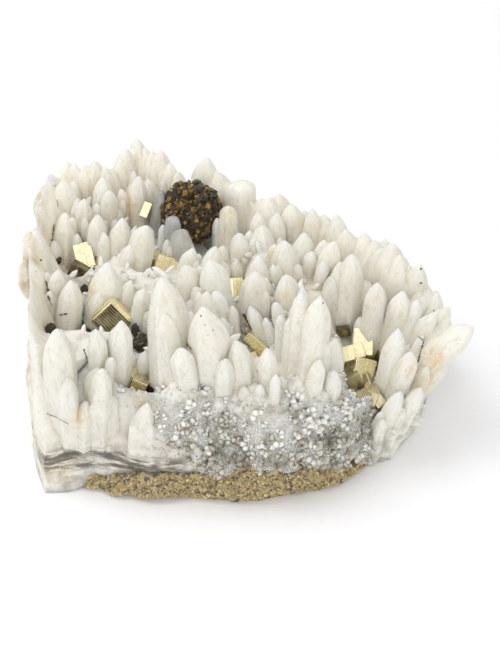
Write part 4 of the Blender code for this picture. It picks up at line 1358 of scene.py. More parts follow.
# Lumps of the crust: (depth in mm, size, octaves) of the coarse and the fine ones, of
# the breaks and their edges, of the smooth wall, and of the clumps of sugar
COARSE_LUMPS = (0.9, 5.0 * MM, 3)
FINE_LUMPS = (0.35, 1.6 * MM, 2)
BREAKS = (1.1, 6.0 * MM, 4)
BREAK_EDGES = (0.5, 2.5 * MM, 2)
SOFT_LUMPS = (0.5, 9.0 * MM, 2)
CLUMP_SIZE = 4.0 * MM
CLUMP_DEPTH = 1.8
WALL_LUMPS = 2.6
WALL_LUMP_SIZE = 8.0 * MM
SMOOTH_WALL_CALM = 0.6

# The crust is a bed for crystals where it looks up by more than this
BED_FACING = 0.5

# Warmth, clearness and brightness of the crust
CRUST_LOOKS = (0.3, 0.2, 0.5)


def lumps(place, kind):
    """How far lumps of a kind raise a place, in mm."""
    depth, size, octaves = kind
    return depth * rough(place, size, octaves)


def crust_move(place, normal):
    """How far the crust moves at a place, from its coarse form to its finished one."""
    left = clamped((-place.x / MM - LEFT_START) / LEFT_REACH)
    front = clamped((-place.y / MM - FRONT_START) / FRONT_REACH)
    sugar = sugar_share(place) * front
    smooth_share = front * (1.0 - sugar)
    level = place.z / MM
    window = clamped((level - SWELL_START) / SWELL_RISE) * clamped((SWELL_END - level) / SWELL_FALL)
    swell = front * window * max(0.0, -normal.y + SWELL_FACING)
    plain = lumps(place, COARSE_LUMPS) + lumps(place, FINE_LUMPS)
    broken = lumps(place, BREAKS) - abs(lumps(place, BREAK_EDGES))
    clumps = sugar * CLUMP_DEPTH * rough(place, CLUMP_SIZE)
    depth = smooth_share * lumps(place, SOFT_LUMPS) + (1.0 - smooth_share) * plain + clumps
    depth = (1.0 - left) * depth + left * broken
    lumpy = (1.0 - SMOOTH_WALL_CALM * smooth_share) * WALL_LUMPS * rough(place, WALL_LUMP_SIZE)
    depth += swell * (WALL_SWELL - LEFT_FLATTENING * smooth_share + lumpy)
    move = normal * depth * MM
    if normal.z > BED_FACING:
        rise = BED_RISE + BED_LUMPS * rough(place, BED_LUMP_SIZE, 2)
        move += Vector((0.0, 0.0, rise * bed_share(place) * MM))
    return move


def crust_mesh():
    """The crust, rough where it is sugary and broken on its left side."""
    bm = crust_form()
    bmesh.ops.subdivide_edges(bm, edges=bm.edges, cuts=CRUST_CUTS, use_grid_fill=True)
    bm.normal_update()
    moves = [crust_move(vert.co, vert.normal) for vert in bm.verts]
    for vert, move in zip(bm.verts, moves):
        vert.co += move
        vert.co.z = max(vert.co.z, SKIRT_FOOT)
    bm.loops.layers.uv.new("growth")
    mesh = mesh_of(bm, "crust")
    paint(mesh, CRUST_LOOKS)
    return mesh


def sugar_thickness(place, _):
    """How thickly sugar covers the crust at a place."""
    inside = place.y < SUGAR_BACK and place.x < SUGAR_RIGHT and place.z > SUGAR_LEVELS[0]
    return sugar_share(place) * inside * clamped((SUGAR_LEVELS[1] - place.z) / SUGAR_FADE)


def bed_thickness(place, normal):
    """How thickly small crystals cover the crust at a place."""
    return on_bed(place, normal) and min(1.0, 2.0 * bed_share(place))


# Materials

# Places on the quartz between which a look sets in: grey low on the front wall, dark
# layers at its left foot, and the broken left side
GREY_LEVELS = (26.0 * MM, 12.0 * MM)
GREY_DEPTHS = (-20.0 * MM, -34.0 * MM)
LAYER_SIDE = (-16.0 * MM, -24.0 * MM)
LAYER_FOOT = (7.0 * MM, 10.0 * MM)
LAYER_TOP = (18.0 * MM, 14.5 * MM)
LAYER_STRETCH = (3.5, 3.5, 0.6)
BROKEN_SIDE = (-66.0 * MM, -70.0 * MM)

# Growth marks of the quartz: stretch of the ribs along a crystal, radians of the fine
# lines in a metre, and how far they sway
RIB_STRETCH = 0.16
LINE_PACE = 9000.0
LINE_SWAY = 20.0
QUARTZ_IOR = 1.54


def milky_quartz(settings):
    """Milky quartz: light spreads in it, with warm, grey and rusty parts."""
    surface = Surface("milky_quartz", settings.milky)
    warm, clear, bright = surface.attribute("looks")[:3]
    x, y, z = surface.split(surface.place)
    cloud = surface.noise(7.0 * MM)
    surface.cover(settings.warm, warm, surface.ramp(cloud, 0.25, 0.75, 0.5, 1.2))
    surface.cover(settings.grey, clear, surface.ramp(cloud, 0.4, 0.65), 0.4)
    speckle = surface.noise(1.6 * MM, 5.0, 0.7)
    surface.cover(settings.grey, surface.ramp(speckle, 0.5, 0.75, 0.0, 0.35))
    low = surface.ramp(z, *GREY_LEVELS)
    front = surface.ramp(y, *GREY_DEPTHS)
    patch = surface.ramp(surface.noise(5.0 * MM, 6.0, 0.66), 0.42, 0.62)
    surface.cover(settings.grey, low, front, patch, 0.7)
    left = surface.ramp(x, *LAYER_SIDE)
    band = surface.product(surface.ramp(z, *LAYER_FOOT), surface.ramp(z, *LAYER_TOP))
    streaks = surface.noise(3.0 * MM, 5.0, 0.65, surface.stretched(*LAYER_STRETCH))
    surface.cover(settings.shadow, band, front, left, surface.ramp(streaks, 0.40, 0.56), 0.9)
    broken = surface.ramp(x, *BROKEN_SIDE)
    surface.cover(settings.tan, broken, surface.ramp(surface.noise(5.0 * MM, 5.0, 0.65), 0.36, 0.64))
    surface.cover(settings.grey, surface.ramp(bright, 0.0, 1.0, 0.08, 0.0))
    rust = surface.attribute("rust")[0]
    surface.cover(settings.stain, rust, surface.ramp(surface.noise(1.8 * MM, 5.0, 0.65), 0.35, 0.65))
    growth = surface.uv("growth")
    along_ribs = surface.combined(growth[0], surface.product(growth[1], RIB_STRETCH), bright)
    ribs = surface.noise(0.8 * MM, 4.0, 0.6, along_ribs)
    surface.cover(settings.grey, surface.ramp(ribs, 0.48, 0.75, 0.0, 0.3))
    lines = surface.waves(growth[1], LINE_PACE, cloud, LINE_SWAY)
    under = surface.bump(lines, 0.02 * MM, 0.25)
    under = surface.bump(ribs, 0.22 * MM, 0.6, under)
    return surface.finished(
        Roughness=surface.ramp(cloud, 0.3, 0.7, settings.roughness - 0.06, settings.roughness + 0.08),
        Normal=surface.bump(speckle, 0.12 * MM, 0.45, under),
        Subsurface_Weight=1.0, Subsurface_Radius=(1.0, 0.92, 0.8), Subsurface_Scale=settings.scatter,
        IOR=QUARTZ_IOR, Specular_IOR_Level=0.35, Transmission_Weight=settings.clear_share)


# A crystal that points at the viewer by more than this would look like a ball
BALL_FACING = 0.7


def faces_viewer(stem):
    """Whether a crystal points at the viewer."""
    return (stem.tip - stem.foot).normalized().dot(TOWARDS_VIEWER) > BALL_FACING


# Tips, in the picture, of the crystals beside the nodule that can be seen through
CLEAR_TIPS = ((163, 190), (173, 217), (181, 228))


def is_clear(stem):
    """Whether a crystal is one of those that can be seen through."""
    across, down, _ = picture_place(stem.tip)
    return any(abs(across - tip[0]) < 1.0 and abs(down - tip[1]) < 1.0 for tip in CLEAR_TIPS)


def clear_quartz(settings):
    """Clear grey quartz, which can be seen through."""
    surface = Surface("clear_quartz", settings.clear)
    return surface.finished(
        Normal=surface.bump(surface.noise(2.0 * MM), 0.1 * MM, 0.4), Roughness=0.12, IOR=1.4,
        Transmission_Weight=0.6, Subsurface_Weight=0.4, Subsurface_Scale=3.0 * MM)


# Places between which the sugar gets greyer to the left and lower down, and between
# which its dark grains set in
SUGAR_GREY_SIDE = (-20.0 * MM, 20.0 * MM)
SUGAR_GREY_LEVELS = (34.0 * MM, 14.0 * MM)
SUGAR_DARK_SIDE = (-24.0 * MM, -16.0 * MM)


def sugary_quartz(settings):
    """Sugary quartz: white and grey grains, with dark ones at the right."""
    surface = Surface("sugary_quartz", settings.milky)
    tone = surface.attribute("tone")[0]
    x, _, z = surface.split(surface.place)
    cloud = surface.mix(0.35, surface.noise(9.0 * MM, 4.0, 0.6), surface.noise(3.0 * MM, 4.0, 0.6))
    leftward = surface.ramp(x, *SUGAR_GREY_SIDE, 0.05, 0.0)
    low = surface.ramp(z, *SUGAR_GREY_LEVELS, -0.12, 0.04)
    level = surface.total(cloud, leftward, low)
    surface.cover(settings.grey, surface.ramp(level, 0.43, 0.51, 0.2, 1.0),
                  surface.ramp(tone, 0.0, 0.8, 0.75, 0.95))
    surface.cover(settings.shadow, surface.ramp(level, 0.51, 0.59), surface.ramp(tone, 0.2, 1.0, 0.3, 0.6),
                  surface.ramp(x, *SUGAR_DARK_SIDE))
    return surface.finished(
        Subsurface_Weight=1.0, Subsurface_Radius=(1.0, 0.95, 0.88), Subsurface_Scale=2.2 * MM,
        IOR=QUARTZ_IOR, Roughness=0.6, Specular_IOR_Level=0.1)


def granular_pyrite(settings):
    """Granular pyrite: brassy and brown grains with dark ones between."""
    surface = Surface("granular_pyrite", settings.dark)
    tone = surface.attribute("tone")[0]
    fine = surface.noise(0.9 * MM, 4.0, 0.65)
    cell = surface.split(surface.cells(0.9 * MM))[0]
    spread = surface.total(surface.product(cell, 0.5), surface.product(tone, 0.5))
    surface.cover(settings.brown, surface.ramp(spread, 0.12, 0.34))
    surface.cover(settings.gold, surface.ramp(spread, 0.42, 0.7))
    surface.cover(settings.dark, surface.ramp(fine, 0.4, 0.65, 0.0, 0.25))
    return surface.finished(
        Metallic=surface.ramp(spread, 0.45, 0.7, 0.1, 0.85),
        Roughness=surface.ramp(fine, 0.3, 0.7, 0.3, 0.6),
        Normal=surface.bump(fine, 0.25 * MM, 0.8))


def bright_pyrite(settings):
    """Crystal pyrite: metallic, grooved, with tarnished faces and a front face painted dark as tarnish and
    dark reflection.
    """
    surface = Surface("pyrite", settings.gold)
    tarnish_and_dark_reflection, _, lined_face = surface.attribute("looks")[:3]
    fine = surface.noise(0.8 * MM, 4.0, 0.6)
    broad = surface.noise(3.0 * MM)
    wave = surface.waves(surface.uv("grooves")[0], math.tau / settings.line, broad, 7.0)
    spots = surface.product(surface.ramp(broad, 0.45, 0.7), 0.14)
    lines = surface.product(surface.ramp(wave, -0.3, 0.95, 0.0, 0.2), lined_face)
    tarnish = surface.chain("SUBTRACT", surface.ramp(broad, 0.3, 0.7, 0.8, 1.0), lines)
    # Laid over the gold: tarnish, and on a front face painted dark reflection, with its lines left bright
    surface.cover(settings.tarnish_and_reflection_colour, surface.chain("MAXIMUM", surface.product(tarnish_and_dark_reflection, tarnish), spots))
    under = surface.bump(wave, 0.02 * MM, 0.4)
    return surface.finished(
        Metallic=0.9,
        Roughness=surface.total(surface.ramp(fine, 0.3, 0.7, 0.2, 0.32), surface.product(tarnish_and_dark_reflection, 0.15)),
        Normal=surface.bump(broad, 0.1 * MM, 0.3, under))


def brown_mineral(settings):
    """Brown mineral: dark and resinous, with amber patches that are partly the grains' own colour and partly
    painted glints.
    """
    surface = Surface("brown_mineral", settings.dark)
    tone = surface.attribute("tone")[0]
    fine = surface.noise(0.7 * MM, 4.0, 0.6)
    broad = surface.noise(3.5 * MM)
    # Amber patches by tone and noise: the grains' own colour and painted glints
    amber_glint_share = surface.total(surface.product(tone, 0.6), surface.product(broad, 0.55))
    surface.cover(settings.amber, surface.ramp(amber_glint_share, 0.66, 0.92))
    surface.cover(settings.dark, surface.ramp(fine, 0.4, 0.7, 0.0, 0.6))
    return surface.finished(
        Roughness=surface.ramp(fine, 0.3, 0.7, 0.18, 0.4),
        Normal=surface.bump(fine, 0.1 * MM, 0.6))


# Scattered grains and crystals

def scatter_tree():
    """Geometry Nodes: copies of one crystal all over a surface, turned and sized anew."""
    tree = bpy.data.node_groups.new("scatter", "GeometryNodeTree")
    face = tree.interface
    face.new_socket("Geometry", in_out="OUTPUT", socket_type="NodeSocketGeometry")
    for name, kind in (("Geometry", "Geometry"), ("Crystal", "Object"), ("Spacing", "Float"),
                       ("Density", "Float"), ("Smallest", "Float"), ("Largest", "Float"),
                       ("Tilt", "Float"), ("Seed", "Int"), ("Material", "Material")):
        face.new_socket(name, in_out="INPUT", socket_type="NodeSocket" + kind)
    given = fed(tree, "NodeGroupInput", {})
    thick = fed(tree, "GeometryNodeInputNamedAttribute", {"Name": "thick"})[0]
    spread = fed(
        tree, "GeometryNodeDistributePointsOnFaces",
        {"Mesh": given["Geometry"], "Distance Min": given["Spacing"], "Density Max": given["Density"],
         "Density Factor": thick, "Seed": given["Seed"]}, distribute_method="POISSON")
    crystal = fed(tree, "GeometryNodeObjectInfo", {"Object": given["Crystal"], "As Instance": True})
    size = fed(tree, "FunctionNodeRandomValue",
               {2: given["Smallest"], 3: given["Largest"], "Seed": given["Seed"]})[1]
    tilt = fed(tree, "ShaderNodeCombineXYZ", {"X": given["Tilt"], "Y": given["Tilt"], "Z": math.pi})[0]
    back = fed(tree, "ShaderNodeVectorMath", {0: tilt, "Scale": -1.0}, operation="SCALE")[0]
    turn = fed(tree, "FunctionNodeRandomValue", {0: back, 1: tilt, "Seed": given["Seed"]},
               data_type="FLOAT_VECTOR")[0]
    copies = fed(
        tree, "GeometryNodeInstanceOnPoints",
        {"Points": spread["Points"], "Instance": crystal["Geometry"], "Rotation": spread["Rotation"],
         "Scale": size})[0]
    turned = fed(tree, "GeometryNodeRotateInstances", {"Instances": copies, "Rotation": turn})[0]
    tone = fed(tree, "FunctionNodeRandomValue", {})[1]
    toned = fed(tree, "GeometryNodeStoreNamedAttribute",
                {"Geometry": turned, "Name": "tone", "Value": tone}, domain="INSTANCE")[0]
    real = fed(tree, "GeometryNodeRealizeInstances", {0: toned})[0]
    finish = fed(tree, "GeometryNodeSetMaterial", {"Geometry": real, "Material": given["Material"]})[0]
    fed(tree, "NodeGroupOutput", {0: finish})
    return tree


# Crystals tried for each square of their spacing
CRYSTALS_TRIED = 2.0


def scattered(ground, crystal, material, spacing, sizes, tilt, seed):
    """Mesh of crystals over a ground mesh, thick where its attribute says so."""
    tree = bpy.data.node_groups.get("scatter") or scatter_tree()
    holder = bpy.data.objects.new("ground", ground)
    model = bpy.data.objects.new("model", crystal)
    bpy.context.scene.collection.objects.link(holder)
    bpy.context.scene.collection.objects.link(model)
    modifier = holder.modifiers.new("scatter", "NODES")
    modifier.node_group = tree
    values = {"Crystal": model, "Spacing": spacing, "Density": CRYSTALS_TRIED / spacing ** 2,
              "Smallest": sizes[0], "Largest": sizes[1], "Tilt": tilt, "Seed": seed, "Material": material}
    for item in tree.interface.items_tree:
        if item.name in values:
            modifier[item.identifier] = values[item.name]
    mesh = evaluated(holder)
    bpy.data.objects.remove(holder)
    bpy.data.objects.remove(model)
    if not mesh.polygons:
        raise RuntimeError("nothing was scattered")
    return mesh


def thicken(mesh, rule):
    """Store how thickly crystals grow at each point of a mesh."""
    values = [float(rule(vert.co, vert.normal)) for vert in mesh.vertices]
    thick = mesh.attributes.get("thick") or mesh.attributes.new("thick", "FLOAT", "POINT")
    thick.data.foreach_set("value", values)


def level_ring(sides, width, height):
    """Corners of a level polygon round the Z axis."""
    angles = [math.tau * corner / sides for corner in range(sides)]
    return [Vector((width * math.cos(angle), width * math.sin(angle), height)) for angle in angles]


# Grain of sugar: its sides, how far every other corner is raised, and its two ends
GRAIN_SIDES = 5
GRAIN_ZIGZAG = 0.2
GRAIN_ENDS = ((0.1, 0.0, -0.9), (0.15, 0.1, 1.1))


def point_crystal():
    """Small stubby crystal, pointed at both ends, two units thick."""
    bm = bmesh.new()
    ring = []
    for corner, spot in enumerate(level_ring(GRAIN_SIDES, 1.0, 0.0)):
        spot.z = GRAIN_ZIGZAG * (corner % 2)
        ring.append(bm.verts.new(spot))
    low, high = [bm.verts.new(end) for end in GRAIN_ENDS]
    for corner in range(GRAIN_SIDES):
        after = (corner + 1) % GRAIN_SIDES
        bm.faces.new((ring[corner], ring[after], high))
        bm.faces.new((ring[after], ring[corner], low))
    return mesh_of(bm, "point_crystal")


# Crystals of a tuft: tilt about X and about Y in degrees, size, and shift along X and Y
TUFT = (
    (0, 0, 1.0, 0.0, 0.0), (38, 12, 0.75, 0.5, -0.6),
    (-30, 34, 0.7, 0.7, 0.5), (8, -42, 0.8, -0.7, 0.1),
)

# One stub: (height, width) of its rings, its top, and its warmth, clearness, brightness
STUB_SIDES = 6
STUB_RINGS = ((-1.2, 0.9), (1.2, 0.85), (2.0, 0.55))
STUB_TOP = (0.1, 0.05, 2.7)
STUB_LOOKS = (0.5, 0.2, 0.5)


def stubby_crystal(stretch, tuft=TUFT[:1]):
    """Short six-sided crystals with points, the first one unit in radius."""
    bm = bmesh.new()
    for tilt_x, tilt_y, size, shift_x, shift_y in tuft:
        turn = Matrix.Rotation(math.radians(tilt_x), 3, "X") @ Matrix.Rotation(math.radians(tilt_y), 3, "Y")
        shift = Vector((shift_x, shift_y, 0.0))
        rings = []
        for height, width in STUB_RINGS:
            spots = level_ring(STUB_SIDES, width, height * stretch)
            rings.append([bm.verts.new(turn @ spot * size + shift) for spot in spots])
        top = Vector((*STUB_TOP[:2], STUB_TOP[2] * stretch))
        top = bm.verts.new(turn @ top * size + shift)
        bm.faces.new(list(reversed(rings[0])))
        for corner in range(STUB_SIDES):
            after = (corner + 1) % STUB_SIDES
            for lower, upper in zip(rings, rings[1:]):
                bm.faces.new((lower[corner], lower[after], upper[after], upper[corner]))
            bm.faces.new((rings[-1][corner], rings[-1][after], top))
    mesh = mesh_of(bm, "stubby_crystal")
    paint(mesh, STUB_LOOKS)
    return mesh


def block_crystal(cut):
    """Small cube with every other corner cut, two units wide."""
    bm = bmesh.new()
    bmesh.ops.create_cube(bm, size=2.0)
    corners = [vert for vert in bm.verts if vert.co.x * vert.co.y * vert.co.z > 0.0]
    bmesh.ops.bevel(bm, geom=corners, offset=cut, affect="VERTICES")
    return mesh_of(bm, "block_crystal")


# Slab

# Grains cover the slab above this height where it doesn't look up into the quartz
GRAIN_LEVEL = 1.1 * MM
GRAIN_SLOPE = 0.75

# Lumps of the slab: (depth in mm, size, octaves); below the level it stays flat
SLAB_CUTS = 5
SLAB_LUMPS = (0.7, 4.0 * MM, 3)
SLAB_FINE_LUMPS = (0.4, 1.2 * MM, 2)
FLAT_LEVEL = 0.05 * MM
SLAB_CREASE = 40.0

# How far the slab's upper edge swings up and down along the front, over which length,
# in front of which place, and the height at which it swings fully
RAGGED_TOP = 2.2 * MM
RAGGED_SIZE = 5.0 * MM
RAGGED_FRONT = -30.0 * MM
RAGGED_LEVEL = 8.0 * MM


def slab_mesh():
    """The slab, rough all over but flat below."""
    bm = slab_form()
    bmesh.ops.subdivide_edges(bm, edges=bm.edges, cuts=SLAB_CUTS, use_grid_fill=True)
    bm.normal_update()
    moves = [vert.normal * (lumps(vert.co, SLAB_LUMPS) + lumps(vert.co, SLAB_FINE_LUMPS)) * MM
             for vert in bm.verts]
    for vert, move in zip(bm.verts, moves):
        if vert.co.z > FLAT_LEVEL:
            ragged = RAGGED_TOP * rough(vert.co, RAGGED_SIZE) if vert.co.y < RAGGED_FRONT else 0.0
            vert.co += move
            vert.co.z = max(vert.co.z + ragged * min(1.0, vert.co.z / RAGGED_LEVEL), 0.0)
    return mesh_of(bm, "slab", SLAB_CREASE)


def grain_thickness(place, normal):
    """How thickly grains cover the slab at a place."""
    return place.z > GRAIN_LEVEL and normal.z < GRAIN_SLOPE


def full_thickness(*_):
    """As thick as can be, wherever it is."""
    return 1.0


# Pyrite and brown pieces

# A crystal with a darkened front face has painted dark reflection and tarnish on the face that looks towards
# the viewer by this much
DARK_REFLECTION_FACING = 0.85

# Bright cut edges round the front face painted dark as tarnish and dark reflection
DARK_FACE_CHAMFER = 1.1 * MM

# Longest edge of a pyrite crystal's mesh, and the finer grooves: how many there are to
# a groove, their share of the depth, and the plane of the noise that they follow
BLOCK_EDGE = 0.45 * MM
FINE_GROOVES = 2.7
FINE_GROOVE_SHARE = 0.5
FINE_GROOVE_PLANE = 5.0

# Knobs of the brown lumps: (share of the radius, size, octaves)
LARGE_KNOBS = (0.07, 3.5 * MM, 2)
SMALL_KNOBS = (0.16, 1.1 * MM, 3)
KNOB_EDGES = (0.12, 0.6 * MM, 2)
LUMP_CREASE = 30.0


def main_axis(normal):
    """Number of the axis along which a normal points most."""
    sizes = [abs(part) for part in normal]
    return sizes.index(max(sizes))


def grooved_block(block, centre, settings, rng):
    """One pyrite crystal: a block with worn edges and fine growth grooves."""
    turn = VIEW_BASIS.copy()
    for axis, degrees in block.turns:
        turn = turn @ Matrix.Rotation(math.radians(degrees), 3, axis)
    bm = bmesh.new()
    bmesh.ops.create_cube(bm, size=1.0)
    bmesh.ops.scale(bm, vec=[side * MM for side in block.size], verts=bm.verts)
    edge = DARK_FACE_CHAMFER if block.tarnish_and_dark_reflection else settings.bevel
    bmesh.ops.bevel(bm, geom=bm.edges[:], offset=edge, affect="EDGES", segments=1)
    refine(bm, BLOCK_EDGE)
    bm.normal_update()
    shift = rng.uniform(0.0, NOISE_REACH)
    moves = []
    for vert in bm.verts:
        across = vert.co[(main_axis(vert.normal) + 1) % 3]
        step = noise.noise(Vector((across / settings.pitch, shift, 0.0)))
        fine = noise.noise(Vector((across / settings.pitch * FINE_GROOVES, shift, FINE_GROOVE_PLANE)))
        moves.append(vert.normal * (step + FINE_GROOVE_SHARE * fine) * settings.groove)
    for vert, move in zip(bm.verts, moves):
        vert.co += move
    grooves = bm.loops.layers.uv.new("grooves")
    bm.normal_update()
    for face in bm.faces:
        main = main_axis(face.normal)
        for loop in face.loops:
            loop[grooves].uv = (loop.vert.co[(main + 1) % 3], loop.vert.co[(main + 2) % 3])
    bmesh.ops.rotate(bm, matrix=turn, verts=bm.verts)
    bmesh.ops.translate(bm, vec=centre, verts=bm.verts)
    mesh = mesh_of(bm, "block")
    fronts = [max(0.0, polygon.normal.dot(TOWARDS_VIEWER)) for polygon in mesh.polygons]
    looks = mesh.attributes.new("looks", "FLOAT_COLOR", "CORNER")
    lined = 0.0 if block.worn else 1.0
    for polygon, front in zip(mesh.polygons, fronts):
        # Faces towards the viewer get painted dark reflection with tarnish; worn crystals are tarnished all
        # over
        tarnish_and_dark_reflection = max(block.worn, block.tarnish_and_dark_reflection if front > DARK_REFLECTION_FACING else 0.0)
        for corner in polygon.loop_indices:
            looks.data[corner].color = (tarnish_and_dark_reflection, front, lined, 1.0)
    return mesh


def rough_lump(lump, centre):
    """One lump of the brown mineral, knobbly all over."""
    bm = bmesh.new()
    bmesh.ops.create_icosphere(bm, subdivisions=4, radius=1.0)
    for vert in bm.verts:
        outwards = vert.co.normalized()
        spot = Vector([outwards[i] * lump.radii[i] * MM for i in range(3)])
        knob = lumps(centre + spot, SMALL_KNOBS) + lumps(centre - spot, LARGE_KNOBS)
        edge = abs(lumps(centre - spot, KNOB_EDGES))
        vert.co = centre + spot * (1.0 + knob - edge)
    return mesh_of(bm, "lump", LUMP_CREASE)


# Stains and specks

class Stain(NamedTuple):
    """Rusty patch on the quartz: pixel, reach in mm and strength."""
    at: tuple
    size: float
    strength: float = 0.6


STAINS = (
    Stain((128, 205), 4.0), Stain((137, 213), 3.5, 0.8), Stain((230, 212), 4.0),
    Stain((270, 255), 3.5), Stain((287, 298), 2.5), Stain((314, 284), 3.5, 0.8),
    Stain((424, 388), 4.5, 1.0), Stain((434, 358), 3.5, 0.9),
    Stain((412, 371), 2.5, 0.8),
    Stain((80, 418), 3.0), Stain((97, 330), 2.0), Stain((250, 348), 3.0, 0.8),
    Stain((66, 262), 3.0), Stain((90, 290), 3.0), Stain((140, 398), 3.0, 0.8),
    Stain((36, 285), 3.0), Stain((34, 432), 4.0), Stain((60, 470), 4.0, 0.4),
)


class Speck(NamedTuple):
    """Dark speck on the quartz: pixels that it runs through and half its width in mm."""
    path: tuple
    size: float


SPECKS = (
    Speck(((187, 344), (191, 349)), 0.7), Speck(((201, 316),), 0.3),
    Speck(((205, 325),), 0.25), Speck(((213, 330),), 0.3), Speck(((208, 335),), 0.25),
    Speck(((323, 303),), 0.45), Speck(((337, 309),), 0.5), Speck(((421, 269),), 0.4),
    Speck(((421, 283),), 0.4), Speck(((426, 289),), 0.4), Speck(((434, 311),), 0.4),
    Speck(((475, 328), (476, 337)), 0.35), Speck(((298, 456),), 0.6),
    Speck(((418, 336), (424, 341), (421, 350), (418, 362)), 0.35),
    Speck(((47, 414), (56, 417), (68, 424)), 0.22), Speck(((46, 282), (48, 290)), 0.6),
    Speck(((41, 260),), 0.5), Speck(((36, 272),), 0.5), Speck(((55, 186),), 0.4),
    Speck(((57, 200), (58, 206)), 0.3), Speck(((54, 225), (52, 240)), 0.4),
    Speck(((96, 257), (94, 270)), 0.6), Speck(((48, 296), (52, 306)), 0.4),
    Speck(((84, 350), (88, 362)), 0.4), Speck(((280, 466),), 0.4),
    Speck(((60, 315), (66, 314)), 0.5), Speck(((338, 470),), 0.4),
    Speck(((244, 315), (251, 329)), 0.7),
)
SPECK_STEP = 0.5
SPECK_FLATNESS = 0.45
SPECK_ROUGHNESS = 0.3
SPECK_CREASE = 40.0

# Shares of its own size that a crumb has, and shares of that along its other side
SPECK_SIZES = (0.4, 1.0)
SPECK_WIDTHS = (0.6, 1.0)

# A stain is left out farther than this, in its own sizes
STAIN_REACH = 2.5


def stain_quartz(mesh):
    """Store how rusty the quartz is at each point."""
    tree = tree_of(mesh)
    spots = []
    for stain in STAINS:
        place = tree.ray_cast(VIEWPOINT, sight_direction(stain.at))[0]
        if place:
            spots.append((place, stain.size * MM, stain.strength))
    values = []
    for vert in mesh.vertices:
        rust = 0.0
        for place, size, strength in spots:
            away = (vert.co - place).length / size
            if away < STAIN_REACH:
                rust += strength * math.exp(-away * away)
        values.append(min(1.0, rust))
    mesh.attributes.new("rust", "FLOAT", "POINT").data.foreach_set("value", values)


def speck_mesh(tree, rng):
    """All the dark specks, each a flat rough crumb on the surface."""
    bm = bmesh.new()
    for speck in SPECKS:
        pixels = [Vector(pixel) for pixel in speck.path]
        stops = [pixels[0]]
        for start, end in zip(pixels, pixels[1:]):
            count = max(1, int((end - start).length / (speck.size * PIXELS_PER_MM * SPECK_STEP * 2)))
            stops += [start.lerp(end, (step + 1) / count) for step in range(count)]
        for stop in stops:
            place, normal = tree.ray_cast(VIEWPOINT, sight_direction(stop))[:2]
            if place is None:
                continue
            size = speck.size * MM * rng.uniform(*SPECK_SIZES)
            turn = normal.to_track_quat("Z", "Y").to_matrix().to_4x4()
            shape = Matrix.Diagonal((size, size * rng.uniform(*SPECK_WIDTHS), size * SPECK_FLATNESS, 1.0))
            spin = Matrix.Rotation(rng.uniform(0.0, math.tau), 4, "Z")
            made = bmesh.ops.create_icosphere(bm, subdivisions=2, radius=1.0,
                                              matrix=Matrix.Translation(place) @ turn @ spin @ shape)
            for vert in made["verts"]:
                vert.co += (vert.co - place) * SPECK_ROUGHNESS * rng.uniform(-1.0, 1.0)
    return mesh_of(bm, "specks", SPECK_CREASE)


# Operators

# Edges of the quartz that turn by more than this many degrees stay sharp
QUARTZ_CREASE = 38.0
CLEAR_CREASE = 25.0

# How far scattered crystals tilt, in radians, how much longer they are than their
# model, and how much of the corners is cut off the blocks
SUGAR_LEAN = 1.5
TUFT_LEAN = 1.0
TUFT_STRETCH = 0.75
BED_LEAN = 0.35
BED_STRETCH = 1.1
GRAIN_LEAN = 1.2
GRAIN_CUT = 0.5
NODULE_LEAN = 1.3
NODULE_CUT = 0.7

# Lights: name, place and side in metres
LIGHTS = (("key", (-0.45, 0.05, 0.85), 0.6), ("fill", (0.05, -0.77, 0.64), 0.8))
WHITE = (1.0, 1.0, 1.0, 1.0)
FLOOR_REACH = 3.0
FLOOR_ROUGHNESS = 0.9

# Width of the camera's sensor in mm
SENSOR_WIDTH = 36.0


class SPECIMEN_OT_quartz(bpy.types.Operator):
    """Grow the milky quartz: the crust and the points that stand on it"""
    bl_idname = "specimen.quartz"
    bl_label = "Milky quartz"

    def execute(self, context):
        settings = context.scene.specimen_quartz
        rng = random.Random(SEED + 2)
        fine_rng = random.Random(SEED + 20)
        parts = []
        clear = []
        grown = layout.seen + layout.filling
        grown += [stem for stem in layout.walls if not faces_viewer(stem)]
        for stem in grown:
            looks = crystal_looks(stem, fine_rng)
            mesh = quartz_mesh(stem, rng, fine_rng, looks, settings.ogive)
            (clear if is_clear(stem) else parts).append(mesh)
        for stem in companion_stems(grown, layout.spots, fine_rng) + between_stems(fine_rng):
            looks = crystal_looks(stem, fine_rng)
            parts.append(quartz_mesh(stem, fine_rng, fine_rng, looks, settings.ogive))
        mesh = joined(crust_mesh(), parts, "quartz")
        mesh = joined(mesh, [below_mesh()], "quartz", "DIFFERENCE")
        smooth(mesh, QUARTZ_CREASE)
        stain_quartz(mesh)
        new_piece("milky_quartz", mesh, milky_quartz(settings), ["quartz_cluster"])
        mesh = joined(clear[0], clear[1:], "clear")
        smooth(mesh, CLEAR_CREASE)
        new_piece("clear_quartz", mesh, clear_quartz(settings), ["quartz_cluster"])
        return {"FINISHED"}


